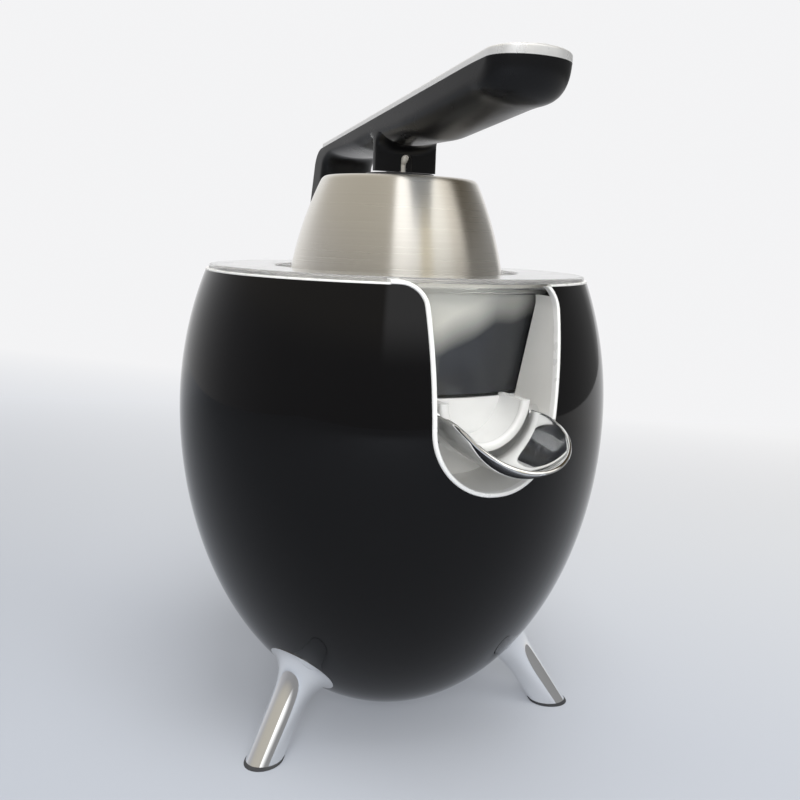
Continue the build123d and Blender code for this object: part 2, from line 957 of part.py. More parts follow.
def pour_spout():
    reach = 2 * belly_radius
    rim_plane = Pos(0, -spout_rear, spout_rim_height) * Rot(spout_rim_slope, 0, 0)
    above = rim_plane * Box(reach, reach, reach, align=upright)
    lean = notch_spread * (pivot_height - notch_round_height)
    wall_face = notch_half_width + lean - fit - liner_wall
    scoop = bullet(0, 0) - above
    scoop += cross_rod(pivot_boss_radius, air - wall_face, wall_face - air, -pivot_offset, pivot_height)
    pivot_end = wall_face + pivot_depth
    scoop += cross_rod(pivot_radius, -pivot_end, pivot_end, -pivot_offset, pivot_height)
    return scoop - bullet(spout_wall, overrun)


def motor_deck():
    deck = rod(deck_radius, deck_low, deck_high)
    deck += rod(bush_boss_radius, bush_low, deck_low)
    deck += rod(tower_radius, deck_high, tower_top)
    deck -= rod(bush_radius, bush_low, bush_top)
    deck -= rod(tower_bore, bush_top, tower_top)
    deck -= block(
        (-tab_half_width - air, 0, washer_low - press_travel - air),
        (tab_half_width + air, tower_radius, collar_low + air),
    )
    deck -= rod(idler_pin_radius, deck_low, deck_low + idler_seat, 0, gear_distance)
    deck -= lug_screw_set(True)
    return deck - deck_screw_set(True)


def deck_screw_set(hole=False):
    spots = [Pos(x, y, deck_high) for x, y in column_places()]
    return whole(*[spot * screw(deck_screw_radius, deck_screw_length, hole) for spot in spots])


def case_form(inset, low, high):
    # Oblong form round the two gear axes
    radius = case_radius - inset
    middle = block((-radius, 0, low), (radius, gear_distance, high))
    return rod(radius, low, high) + rod(radius, low, high, 0, gear_distance) + middle


def lug_places():
    side = case_radius + small_screw_radius * head_share + fit
    return [(x, y) for x in (-side, side) for y in (0, gear_distance)]


def gear_case():
    case = case_form(0, case_floor_low, deck_low)
    for x, y in lug_places():
        case += rod(lug_radius, deck_low - lug_height, deck_low, x, y)
    case -= case_form(case_wall, case_floor_high, deck_low)
    case -= rod(motor_shaft_radius + air, case_floor_low, case_floor_high)
    case -= rod(idler_pin_radius, case_floor_high - idler_seat, case_floor_high, 0, gear_distance)
    case -= motor_screw_set(True)
    return case - lug_screw_set(True)


def lug_screw_set(hole=False):
    length = lug_height + lug_bite
    spots = [Pos(x, y, deck_low - lug_height) * Rot(half_turn, 0, 0) for x, y in lug_places()]
    return whole(*[spot * screw(small_screw_radius, length, hole) for spot in spots])


def gear_blank(teeth, turn):
    # Outline of a spur gear with stub involute teeth, its first tooth at an angle of turn
    pressure = math.radians(pressure_angle)
    pitch_radius = gear_module * teeth / 2
    base_radius = pitch_radius * math.cos(pressure)
    root = pitch_radius - gear_module * dedendum_share
    tip = pitch_radius + gear_module * addendum_share
    flank_low = max(root, base_radius)
    radii = [root] + [flank_low + (tip - flank_low) * i / flank_steps for i in range(flank_steps + 1)]

    def half_tooth(radius):
        angle = math.acos(min(1, base_radius / max(radius, base_radius)))
        involute = math.tan(pressure) - pressure - math.tan(angle) + angle
        return (math.pi / teeth - backlash / pitch_radius) / 2 + involute

    if root >= base_radius:
        radii = radii[1:]
    points = []
    for i in range(teeth):
        centre = math.radians(turn) + 2 * math.pi * i / teeth
        rising = [(r, centre - half_tooth(r)) for r in radii]
        falling = [(r, centre + half_tooth(r)) for r in reversed(radii)]
        points += [(r * math.cos(a), r * math.sin(a)) for r, a in rising + falling]
    return make_face(Polyline(*points, close=True))


def gear(teeth, low, high, turn, x=0, y=0):
    return Pos(x, y, low) * extrude(gear_blank(teeth, turn), high - low)


def output_gear():
    wheel = gear(wheel_teeth, output_low, output_high, quarter_turn)
    wheel += rod(hub_radius, output_high, output_high + hub_height)
    return wheel - rod(shaft_radius, output_low, output_high + hub_height)


def idler_gear():
    half_pitch = half_turn / wheel_teeth
    wheel = gear(wheel_teeth, wheel_low, wheel_high, quarter_turn + half_pitch, 0, gear_distance)
    wheel += gear(pinion_teeth, wheel_high, output_high + gear_gap, quarter_turn, 0, gear_distance)
    wheel += rod(hub_radius, case_floor_high + running, wheel_low, 0, gear_distance)
    return wheel - rod(idler_pin_radius + running, case_floor_low, deck_low, 0, gear_distance)


def idler_pin():
    return rod(idler_pin_radius, case_floor_high - idler_seat, deck_low + idler_seat, 0, gear_distance)


def motor_pinion():
    pinion = gear(pinion_teeth, wheel_low, wheel_high, quarter_turn)
    return pinion - rod(motor_shaft_radius, wheel_low, wheel_high)


def drive_shaft():
    shaft = rod(shaft_radius, output_low, hex_low)
    shaft += rod(shaft_collar_radius, collar_low, collar_low + shaft_collar_height)
    shaft += Pos(0, 0, hex_low) * extrude(RegularPolygon(hex_radius, hex_sides), hex_top - hex_low)
    return shaft


def thrust_washer():
    washer = rod(washer_radius, washer_low, washer_low + washer_thickness)
    washer += block(
        (-tab_half_width, 0, washer_low),
        (tab_half_width, tab_reach, washer_low + washer_thickness),
    )
    return washer - rod(shaft_radius + washer_gap, washer_low, collar_low)


def return_spring():
    # Round wire wound from the bush to the washer
    low = bush_top + spring_wire_radius
    height = washer_low - bush_top - 2 * spring_wire_radius
    path = Helix(pitch=height / spring_turns, height=height, radius=spring_radius)
    section = Plane(path @ 0, z_dir=path % 0) * Circle(spring_wire_radius)
    return Pos(0, 0, low) * sweep(section, path=path)


def shaft_bush():
    return tube(bush_radius, shaft_radius + running, bush_low, bush_top)


def shaft_seal():
    return tube(tower_bore, shaft_radius + running, tower_top - seal_thickness, tower_top)


def switch_body():
    top = deck_high + switch_height
    case = block(
        (-switch_half_length, switch_front, deck_high),
        (switch_half_length, switch_front + switch_depth, top),
    )
    middle = switch_front + switch_depth / 2
    return case - rod(plunger_radius + running, top - plunger_depth - press_travel, top, 0, middle)


def switch_plunger():
    top = deck_high + switch_height
    middle = switch_front + switch_depth / 2
    return rod(plunger_radius, top - plunger_depth, washer_low - plunger_gap, 0, middle)


def reamer_cone():
    cone = turned(
        (0, cone_low),
        (cone_skirt_radius, cone_low),
        (cone_skirt_top_radius, cone_skirt_top),
        (cone_core_radius, cone_skirt_top),
        (cone_apex_radius, cone_apex),
        (0, cone_apex),
    )
    fin = Polyline(
        (0, cone_skirt_top),
        (cone_rib_radius, cone_skirt_top),
        (cone_apex_radius, cone_apex),
        (0, cone_apex),
        close=True,
    )
    rib = extrude(Plane.XZ * make_face(fin), cone_rib_thickness / 2, both=True)
    for angle in around(cone_rib_count):
        cone += Rot(0, 0, angle) * rib
    hollow = turned(
        (0, cone_low),
        (cone_skirt_radius - cone_wall, cone_low),
        (cone_skirt_top_radius - cone_wall, cone_ceiling),
        (0, cone_ceiling),
    )
    cone -= hollow
    cone -= rod(shaft_radius + fit, cone_ceiling, hex_low)
    socket = extrude(RegularPolygon(hex_radius + fit, hex_sides), hex_top + fit - hex_low)
    return cone - Pos(0, 0, hex_low) * socket


def motor_can():
    can = rod(motor_radius, motor_low, case_floor_low)
    can -= rod(motor_radius - motor_wall, motor_low, case_floor_low - motor_plate)
    can += rod(motor_bush_radius + motor_wall, case_floor_low - motor_bush_length, case_floor_low)
    can -= rod(motor_bush_radius, case_floor_low - motor_bush_length, case_floor_low)
    return can - motor_screw_set(True)


def motor_end_cap():
    cap = rod(motor_radius, motor_low - end_cap_thickness, motor_low)
    cap += rod(motor_bush_radius + motor_wall, motor_low, motor_low + motor_bush_length - end_cap_thickness)
    return cap - rod(motor_bush_radius, motor_low - end_cap_thickness, motor_low + motor_bush_length)


def motor_bushes():
    low = motor_low - end_cap_thickness
    bore = motor_shaft_radius + running
    lower = tube(motor_bush_radius, bore, low, low + motor_bush_length)
    upper = tube(motor_bush_radius, bore, case_floor_low - motor_bush_length, case_floor_low)
    return whole(lower, upper)


def motor_screw_set(hole=False):
    spots = [Pos(x, 0, case_floor_high) for x in (-motor_screw_circle, motor_screw_circle)]
    return whole(*[spot * screw(small_screw_radius, motor_screw_length, hole) for spot in spots])


def rotor_span():
    margin = (case_floor_low - motor_low) * rotor_margin_share
    return motor_low + margin, case_floor_low - margin


def motor_stator():
    low, high = rotor_span()
    return tube(motor_radius - motor_wall, rotor_radius + rotor_air_gap, low, high)


def motor_windings():
    low, high = rotor_span()
    outer = motor_radius - motor_wall
    inner = outer - winding_thickness
    lower = tube(outer, inner, low - winding_height, low)
    return whole(lower, tube(outer, inner, high, high + winding_height))


def motor_rotor():
    low, high = rotor_span()
    return tube(rotor_radius, motor_shaft_radius, low, high)


def motor_shaft():
    return rod(motor_shaft_radius, fan_low, wheel_high)


def cooling_fan():
    fan = rod(fan_hub_radius, fan_low, fan_low + fan_height)
    rim = rod(fan_radius, fan_low, fan_low + fan_height)
    for angle in around(fan_blade_count):
        blade = Pos(fan_radius / 2, 0, 0) * Box(fan_radius, fan_blade_thickness, 2 * fan_height)
        place = Rot(0, 0, angle) * Pos(0, 0, fan_low + fan_height / 2) * Rot(fan_blade_pitch, 0, 0)
        fan += place * blade & rim
    return fan - rod(motor_shaft_radius, fan_low, fan_low + fan_height)


def cord_gland():
    face = egg_radius(gland_height)
    body = long_rod(gland_body_radius, face - gland_depth, face + gland_proud, 0, gland_height)
    flange = long_rod(gland_flange_radius, face - shell_wall, face + gland_proud, 0, gland_height)
    gland = body + (flange - egg(0, base_height, rim_height))
    return gland - long_rod(gland_bore, face - gland_depth, face + gland_proud, 0, gland_height)


nodes = {
    "body_shell": body_shell(),
    "rim_trim": rim_trim(),
    "notch_trim": notch_trim(),
    "spout_recess": spout_recess(),
    "base_cover": base_cover(),
    "base_cover_screws": cover_screw_set(),
    "juice_bowl": juice_bowl(),
    "strainer": strainer(),
    "lid": lid(),
    "hinge_post": hinge_post(),
    "hinge_pin": hinge_pin(),
    "post_screws": post_screw_set(),
    "lever_shell": lever_shell(),
    "lever_top_plate": lever_top_plate(),
    "ball_plug": ball_plug(),
    "press_dome": press_dome(),
    "press_cup": press_cup(),
    "dome_collar": dome_collar(),
    "ball_stud": ball_stud(),
    "stud_nut": stud_nut(),
    "pour_spout": pour_spout(),
    "motor_deck": motor_deck(),
    "deck_screws": deck_screw_set(),
    "gear_case": gear_case(),
    "gear_case_screws": lug_screw_set(),
    "output_gear": output_gear(),
    "idler_gear": idler_gear(),
    "idler_pin": idler_pin(),
    "motor_pinion": motor_pinion(),
    "drive_shaft": drive_shaft(),
    "thrust_washer": thrust_washer(),
    "return_spring": return_spring(),
    "shaft_bush": shaft_bush(),
    "shaft_seal": shaft_seal(),
    "switch_body": switch_body(),
    "switch_plunger": switch_plunger(),
    "reamer_cone": reamer_cone(),
    "motor_can": motor_can(),
    "motor_end_cap": motor_end_cap(),
    "motor_bushes": motor_bushes(),
    "motor_screws": motor_screw_set(),
    "motor_stator": motor_stator(),
    "motor_windings": motor_windings(),
    "motor_rotor": motor_rotor(),
    "motor_shaft": motor_shaft(),
    "cooling_fan": cooling_fan(),
    "cord_gland": cord_gland(),
}
for side, turn in leg_turns.items():
    nodes["leg_" + side] = leg(turn)
    nodes["foot_pad_" + side] = foot_pad(turn)
nodes["leg_screws"] = whole(*[leg_frame(turn) * leg_screw() for turn in leg_turns.values()])

os.makedirs("parts", exist_ok=True)
for name, shape in nodes.items():
    export_step(whole(shape), os.path.join("parts", name + ".step"))
    print(name, len(shape.solids()), round(sum(solid.volume for solid in shape.solids())))
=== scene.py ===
import json
import math

import bmesh
import bpy
import numpy as np
from mathutils import Matrix, Vector


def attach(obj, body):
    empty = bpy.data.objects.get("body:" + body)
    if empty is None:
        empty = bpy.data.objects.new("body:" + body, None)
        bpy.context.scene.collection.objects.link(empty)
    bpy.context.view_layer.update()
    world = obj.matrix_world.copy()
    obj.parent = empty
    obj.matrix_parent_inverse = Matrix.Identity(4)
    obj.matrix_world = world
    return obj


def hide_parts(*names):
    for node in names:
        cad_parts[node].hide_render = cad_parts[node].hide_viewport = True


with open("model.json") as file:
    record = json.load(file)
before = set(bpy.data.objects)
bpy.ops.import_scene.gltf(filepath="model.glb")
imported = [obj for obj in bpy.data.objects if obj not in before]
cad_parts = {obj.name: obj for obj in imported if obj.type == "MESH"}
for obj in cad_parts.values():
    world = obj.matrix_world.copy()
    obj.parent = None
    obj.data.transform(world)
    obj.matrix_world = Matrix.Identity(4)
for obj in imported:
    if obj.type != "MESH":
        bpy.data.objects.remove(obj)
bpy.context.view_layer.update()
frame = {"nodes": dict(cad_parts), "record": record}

mm = 0.001
scene = bpy.context.scene
print("frame loaded,", len(frame["nodes"]), "nodes")


# small tools for grids, outlines and pieces

pieceSet = {"merge": 0.01, "speck": 1e-7}  # mm between doubled points, m of a vanished edge


def gridQuads(rows, cols, wrapRows, wrapCols):
    # every cell of a rows x cols grid as one quad; a wrapped side joins its last line to its first
    i = np.arange(rows if wrapRows else rows - 1)[:, None]
    j = np.arange(cols if wrapCols else cols - 1)[None, :]
    below, beside = (i + 1) % rows, (j + 1) % cols
    corners = [i * cols + j, i * cols + beside, below * cols + beside, below * cols + j]
    return np.stack(np.broadcast_arrays(*corners), axis=-1).reshape(-1, 4)


def addPiece(name, grids, body, slot, stands=(), sharp=40.0, finish=None):
    # grids are (points in mm, wrapRows, wrapCols); they are joined, merged where they meet,
    # and turned outwards; edges sharper than the angle stay hard; without a finish the slot's is used
    corners, quads, start = [], [], 0
    for points, wrapRows, wrapCols in grids:
        rows, cols = points.shape[:2]
        corners.append(points.reshape(-1, 3))
        quads.append(gridQuads(rows, cols, wrapRows, wrapCols) + start)
        start += rows * cols
    mesh = bpy.data.meshes.new(name)
    mesh.from_pydata((np.concatenate(corners) * mm).tolist(), [], np.concatenate(quads).tolist())
    work = bmesh.new()
    work.from_mesh(mesh)
    bmesh.ops.remove_doubles(work, verts=work.verts, dist=pieceSet["merge"] * mm)
    bmesh.ops.dissolve_degenerate(work, edges=work.edges, dist=pieceSet["speck"])
    bmesh.ops.recalc_face_normals(work, faces=work.faces)
    work.to_mesh(mesh)
    work.free()
    mesh.polygons.foreach_set("use_smooth", np.ones(len(mesh.polygons), dtype=bool))
    mesh.set_sharp_from_angle(angle=math.radians(sharp))
    mesh.materials.append(finish or finishes[slot])
    piece = bpy.data.objects.new(name, mesh)
    scene.collection.objects.link(piece)
    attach(piece, body)
    if stands:
        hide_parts(*stands)
    return piece


def roundedPath(corners, radii, steps=8, closed=True):
    # straight runs joined by arcs: each corner gives way to an arc of its radius, tangent to both runs
    corners = np.asarray(corners, float)
    out = []
    for k, (corner, radius) in enumerate(zip(corners, radii)):
        atEnd = not closed and k in (0, len(corners) - 1)
        if radius <= 0 or atEnd:
            out.append(corner[None])
            continue
        ahead = corners[(k + 1) % len(corners)] - corner
        behind = corner - corners[k - 1]
        ahead, behind = ahead / np.linalg.norm(ahead), behind / np.linalg.norm(behind)
        turn = math.atan2(behind[0] * ahead[1] - behind[1] * ahead[0], behind @ ahead)
        side = np.array([-behind[1], behind[0]]) * np.sign(turn)
        first = corner - behind * radius * math.tan(abs(turn) / 2)
        angle = turn * np.linspace(0, 1, steps + 1)[:, None]
        spoke = -side
        arc = spoke * np.cos(angle) + np.array([-spoke[1], spoke[0]]) * np.sin(angle)
        out.append(first + side * radius + arc * radius)
    return np.concatenate(out)


def evenly(path, count):
    # the same path with count points at equal steps along its length
    along = np.concatenate([[0], np.cumsum(np.linalg.norm(np.diff(path, axis=0), axis=1))])
    want = np.linspace(0, along[-1], count)
    return np.stack([np.interp(want, along, path[:, k]) for k in range(path.shape[1])], axis=1)


def spots(x, y, z):
    # three arrays of one grid as its points
    return np.stack(np.broadcast_arrays(x, y, z), axis=-1)


def swung(radius, height, azimuth):
    # cylindrical to x, y, z; azimuth 0 is the front, which is -Y, and grows towards +X
    return spots(radius * np.sin(azimuth), -radius * np.cos(azimuth), height)


def lathe(profile, count=128):
    # a closed outline of (radius, height) turned once round Z
    turn = np.linspace(0, 2 * np.pi, count, endpoint=False)[None, :]
    return swung(profile[:, :1], profile[:, 1:], turn), True, True


def fan(ring):
    # closes a ring of points with a fan to their middle
    middle = np.broadcast_to(ring.mean(axis=0), ring.shape)
    return np.stack([ring, middle]), False, True


def sheet(*lines):
    # open sheet through lines of points
    return np.stack(lines), False, False


def bar(points):
    # closed outline carried along an open path, with both ends closed
    return [(points, True, False), fan(points[:, 0]), fan(points[:, -1])]


def stack(points):
    # rings one above the other, closed at both ends
    return [(points, False, True), fan(points[0]), fan(points[-1])]


# finishes

noiseSet = {"start": 0.3, "end": 0.7, "relief": 0.0002}
innerSet = {"darker": 0.88, "lighter": 1.1, "smoother": 0.8, "duller": 1.2}
plain = (1, 1, 1)  # a noise that isn't stretched


def addNode(tree, kind, plugs, **setting):
    # one node: its settings first, then each socket gets a link or a fixed value; gives its outputs
    node = tree.nodes.new("ShaderNode" + kind)
    for key, value in setting.items():
        setattr(node, key, value)
    for socket, value in plugs.items():
        if isinstance(value, bpy.types.NodeSocket):
            tree.links.new(value, node.inputs[socket])
        else:
            node.inputs[socket].default_value = value
    return node.outputs


def ramped(tree, source, stops):
    # colours over a source from 0 to 1; stops are (place, colour) in rising order
    node = tree.nodes.new("ShaderNodeValToRGB")
    elements = node.color_ramp.elements
    while len(elements) < len(stops):
        elements.new(0.5)
    for element, (place, colour) in zip(elements, stops):
        element.position = place
        element.color = (*colour, 1)
    tree.links.new(source, node.inputs["Fac"])
    return node.outputs["Color"]


def newFinish(name, colour, roughness, metal=0.0, **sockets):
    # one shader with its fixed numbers; a further socket is named with _ for its spaces
    finish = bpy.data.materials.new(name)
    finish.use_nodes = True
    shader = finish.node_tree.nodes["Principled BSDF"]
    shader.inputs["Base Color"].default_value = (*colour, 1)
    shader.inputs["Roughness"].default_value = roughness
    shader.inputs["Metallic"].default_value = metal
    for socket, value in sockets.items():
        shader.inputs[socket.replace("_", " ")].default_value = value
    return finish


def feed(tree, source, socket):
    # links a source to the shader of a finish
    tree.links.new(source, tree.nodes["Principled BSDF"].inputs[socket])


def speckle(tree, scale, stretch=plain, detail=4.0):
    # noise on Object coordinates, stretched along the axes as given
    where = addNode(tree, "TexCoord", {})["Object"]
    turned = addNode(tree, "Mapping", {"Vector": where, "Scale": stretch})["Vector"]
    return addNode(tree, "TexNoise", {"Vector": turned, "Scale": scale, "Detail": detail})["Fac"]


def weigh(tree, source, weight, rest):
    # source * weight + rest, scaled to stay within 0 to 1 for a ramp
    total = addNode(tree, "Math", {0: source, 1: weight, 2: rest}, operation="MULTIPLY_ADD")["Value"]
    return addNode(tree, "Math", {0: total, 1: 1 + weight}, operation="DIVIDE")["Value"]


def climb(tree, axis, low, high):
    # 0 at one place along an axis of the object, 1 at another
    where = addNode(tree, "TexCoord", {})["Object"]
    along = addNode(tree, "SeparateXYZ", {"Vector": where})[axis]
    return addNode(tree, "MapRange", {"Value": along, "From Min": low, "From Max": high})["Result"]


def tint(tree, source, first, second, start=noiseSet["start"], end=noiseSet["end"]):
    # lets a source blend the base colour between two tones
    feed(tree, ramped(tree, source, [(start, first), (end, second)]), "Base Color")


def polish(tree, source, low, high):
    # lets a source vary the roughness between low and high
    span = {"From Min": noiseSet["start"], "From Max": noiseSet["end"], "To Min": low, "To Max": high}
    feed(tree, addNode(tree, "MapRange", {"Value": source, **span})["Result"], "Roughness")


def ripple(tree, source, strength):
    # lets a source stand up as a very fine relief
    plugs = {"Height": source, "Strength": strength, "Distance": noiseSet["relief"]}
    feed(tree, addNode(tree, "Bump", plugs)["Normal"], "Normal")


def layered(name, colour, roughness, metal, tones, rub, grain, **sockets):
    # three noises over one shader: the first blends two tones, the second varies the roughness, the third
    # makes a fine grain; each row ends with its noise's scale, stretch and detail
    finish = newFinish(name, colour, roughness, metal, **sockets)
    tree = finish.node_tree
    tint(tree, speckle(tree, *tones[2:]), *tones[:2])
    polish(tree, speckle(tree, *rub[2:]), *rub[:2])
    ripple(tree, speckle(tree, *grain[1:]), grain[0])
    return finish


def plainMould(name, colour, roughness, metal=0.0):
    # one recipe for the inner pieces: two near tones, uneven polish and a fine grain
    d, tone = innerSet, np.array(colour)
    tones = (tuple(tone * d["darker"]), tuple(np.minimum(tone * d["lighter"], 1.0)), 45.0)
    rub = (roughness * d["smoother"], min(roughness * d["duller"], 1.0), 150.0)
    return layered(name, colour, roughness, metal, tones, rub, (0.07, 650.0))


def sieveWithPaintedLight():
    # plastic that lets a little light through; its colour carries painted light and shade: dark towards the
    # bottom as painted shade, pale cream towards its rim and its left as painted light, with upright streaks
    # that break up the edge of the painted light
    finish = newFinish("sieveWithPaintedLight", (0.3, 0.31, 0.33), 0.16, IOR=1.3, Transmission_Weight=0.15)
    tree = finish.node_tree
    streaks = speckle(tree, 34.0, (1, 1, 0.15), 2.0)
    # painted light from above: paler towards the rim, broken up by the streaks
    rise = weigh(tree, streaks, 0.5, climb(tree, "Z", 0.182, 0.206))
    # painted light from the left: paler towards -X
    pale = weigh(tree, climb(tree, "X", 0.012, -0.022), 0.6, rise)
    # the dark tone is painted shade, the cream tone is painted light
    tint(tree, pale, (0.05, 0.053, 0.06), (0.93, 0.91, 0.83), 0.36, 0.62)
    polish(tree, speckle(tree, 70.0), 0.08, 0.24)
    ripple(tree, speckle(tree, 40.0), 0.15)
    return finish


finishes = {
    # deep gloss with a faint waviness and slightly duller smears
    "gloss_black": layered(
        "lacquerBlack", (0.0035, 0.0033, 0.0035), 0.05, 0.0,
        ((0.003, 0.0028, 0.003), (0.0042, 0.004, 0.0043), 9.0),
        (0.035, 0.075, 30.0), (0.02, 60.0, plain, 1.0), IOR=1.5, Specular_IOR_Level=0.18,
    ),
    "silver_trim": layered(
        "silverSatin", (0.88, 0.88, 0.87), 0.3, 0.1,
        ((0.85, 0.85, 0.84), (0.91, 0.91, 0.90), 60.0), (0.25, 0.36, 180.0), (0.03, 700.0),
    ),
    "silver_liner": layered(
        "linerPaint", (0.78, 0.775, 0.75), 0.36, 0.1,
        ((0.75, 0.745, 0.72), (0.81, 0.805, 0.78), 30.0), (0.3, 0.42, 200.0), (0.04, 900.0),
    ),
    "chrome": layered(
        "mirrorChrome", (0.86, 0.865, 0.87), 0.05, 1.0,
        ((0.82, 0.825, 0.83), (0.90, 0.905, 0.91), 22.0), (0.03, 0.09, 55.0), (0.02, 90.0, plain, 1.0),
    ),
    # very fine rings round the axis: the noise is squeezed in Z so that it runs in hoops
    "brushed_steel": layered(
        "turnedSteel", (0.76, 0.73, 0.67), 0.29, 1.0,
        ((0.75, 0.72, 0.66), (0.775, 0.745, 0.685), 6.0, (1, 1, 200)), (0.27, 0.31, 9.0, (1, 1, 260)),
        (0.015, 12.0, (1, 1, 300), 6.0), Anisotropic=0.9, Anisotropic_Rotation=0.25,
    ),
    # clear moulded plastic with a little uneven polish
    "clear_plastic": layered(
        "clearMould", (0.97, 0.98, 0.98), 0.03, 0.0,
        ((0.96, 0.97, 0.97), (0.99, 0.99, 0.99), 12.0),
        (0.015, 0.05, 40.0), (0.05, 35.0, plain, 2.0), IOR=1.22, Transmission_Weight=1.0,
    ),
    "dark_plastic": layered(
        "darkMould", (0.022, 0.022, 0.024), 0.3, 0.0,
        ((0.018, 0.018, 0.02), (0.03, 0.03, 0.033), 40.0), (0.22, 0.4, 120.0), (0.08, 800.0),
    ),
    "rubber": layered(
        "padRubber", (0.045, 0.046, 0.05), 0.75, 0.0,
        ((0.035, 0.036, 0.04), (0.06, 0.061, 0.065), 120.0), (0.65, 0.85, 300.0), (0.2, 1200.0),
    ),
    "cone_plastic": plainMould("coneMould", (0.05, 0.05, 0.055), 0.3),
    "deck_plastic": plainMould("deckMould", (0.1, 0.1, 0.11), 0.5),
    "gear_plastic": plainMould("gearMould", (0.78, 0.77, 0.72), 0.4),
    "steel": plainMould("plainSteel", (0.58, 0.58, 0.59), 0.3, 1.0),
    "bush_bronze": plainMould("bushBronze", (0.60, 0.43, 0.24), 0.35, 1.0),
}
sieveFinish = sieveWithPaintedLight()
# thick clear plastic that looks milky white, as at the outlet
outletFinish = layered(
    "milkyMould", (0.88, 0.885, 0.88), 0.14, 0.0,
    ((0.85, 0.855, 0.85), (0.91, 0.915, 0.91), 40.0), (0.08, 0.2, 80.0), (0.06, 60.0),
    IOR=1.3, Transmission_Weight=0.25,
)
# clear plate seen almost along its face, so its haze shows
lidFinish = layered(
    "lidMould", (0.96, 0.965, 0.965), 0.06, 0.0,
    ((0.94, 0.945, 0.945), (0.98, 0.98, 0.98), 20.0), (0.03, 0.09, 50.0), (0.03, 35.0, plain, 2.0),
    IOR=1.3, Transmission_Weight=0.85,
)
handleFinish = layered(
    "leverBlack", (0.005, 0.005, 0.0055), 0.3, 0.0,
    ((0.004, 0.004, 0.0045), (0.0065, 0.0065, 0.007), 14.0), (0.26, 0.34, 45.0), (0.02, 420.0),
    IOR=1.5, Specular_IOR_Level=0.2,
)
# lengthwise satin lines along the lever
plateFinish = layered(
    "plateSilver", (0.76, 0.76, 0.755), 0.3, 0.6,
    ((0.73, 0.73, 0.725), (0.79, 0.79, 0.785), 10.0, (40, 1, 8)),
    (0.25, 0.38, 14.0, (40, 1, 8)), (0.01, 16.0, (60, 1, 10)),
)
# pale cream non-metal for the shiny stud: its bright colour is a painted reflection that also lifts the shade
# of the slot
studFinish = layered(
    "studPaintedReflection", (0.94, 0.90, 0.80), 0.3, 0.0,
    ((0.92, 0.88, 0.77), (0.96, 0.92, 0.83), 90.0), (0.24, 0.38, 200.0), (0.05, 600.0),
)
ownFinish = {"strainer": sieveFinish, "ball_stud": studFinish}
for entry in frame["record"]["subparts"]:
    node = frame["nodes"][entry["node"]]
    node.data.materials.clear()
    node.data.materials.append(ownFinish.get(entry["node"], finishes[entry["material_slot"]]))
print("finishes on all nodes")


# body skin with the U-shaped notch

bodySet = {
    "bellyRadius": 100.0, "bellyHeight": 148.0, "upperRise": 135.0, "lowerDrop": 145.0,
    "base": 10.0, "rim": 211.5, "wall": 2.5, "floor": 5.0, "footRun": 10.0,
    "coverSeat": 26.1, "coverDepth": 2.0, "ventRadius": 20.0, "around": 220,
}
notchSet = {
    "bottom": 130.0, "roundHeight": 158.0, "roundShare": 0.97, "wingLand": 3.0,
    "half": {-1: 28.2, 1: 27.6}, "spread": {-1: 0.01, 1: 0.14}, "flare": 8.0,
    "hook": 11.0, "hookTurn": 46.0,
}


def eggRadius(height, inset=0.0):
    # two half ellipses that share the belly: radius = across * sqrt(1 - (height above belly / reach)^2)
    height = np.asarray(height, float)
    reach = np.where(height > bodySet["bellyHeight"], bodySet["upperRise"], bodySet["lowerDrop"]) - inset
    part = np.clip(1 - ((height - bodySet["bellyHeight"]) / reach) ** 2, 0, None)
    return (bodySet["bellyRadius"] - inset) * np.sqrt(part)


def notchSide(inset, way, land=True):
    # one side of the notch's outline, (distance from the middle, z) from the bottom up: a round bottom, a
    # leaning straight side, and a corner that opens outwards on the left and turns inwards on the right
    d = notchSet
    lean = math.atan(d["spread"][way])
    half = math.tan((math.pi / 2 - lean) / 2)
    rim = bodySet["rim"]

    def reach(height, drawn):
        return d["half"][way] + d["spread"][way] * (height - d["roundHeight"]) - drawn / math.cos(lean)

    sill = d["bottom"] + inset
    low = reach(sill, inset)
    lowRound = d["roundShare"] * low / half
    a = np.linspace(-math.pi / 2, -lean, 44)
    bottom = np.stack(
        [low - lowRound * half + lowRound * np.cos(a), sill + lowRound + lowRound * np.sin(a)], 1
    )
    if way < 0:
        brim, bend = rim + inset, d["flare"] + inset
        b = np.linspace(math.pi - lean, math.pi / 2, 26)
        corner = np.stack(
            [reach(brim, inset) + bend * half + bend * np.cos(b), brim - bend + bend * np.sin(b)], 1
        )
    else:
        rise = d["hook"] * math.sin(math.radians(d["hookTurn"]))
        bend = d["hook"] - inset
        foot = rim - rise - d["hook"] * math.sin(lean)
        b = np.linspace(-lean, math.asin(rise / bend), 26)
        middle = reach(foot, 0) - d["hook"] * math.cos(lean)
        corner = np.stack([middle + bend * np.cos(b), rim - rise + bend * np.sin(b)], 1)
    side = bottom[-1] + (corner[0] - bottom[-1]) * np.linspace(0, 1, 24)[1:-1, None]
    pieces = [np.array([[0.0, sill]]), bottom, side, corner]
    if land and way < 0:
        wing = reach(rim, 0) + d["flare"] * half + d["wingLand"]
        pieces.append(np.array([[wing, brim]]))
    return np.concatenate(pieces)


def joinSides(left, right):
    # the whole outline in (x, z), left end first
    return np.concatenate([left[::-1] * np.array([-1, 1]), right[1:]])


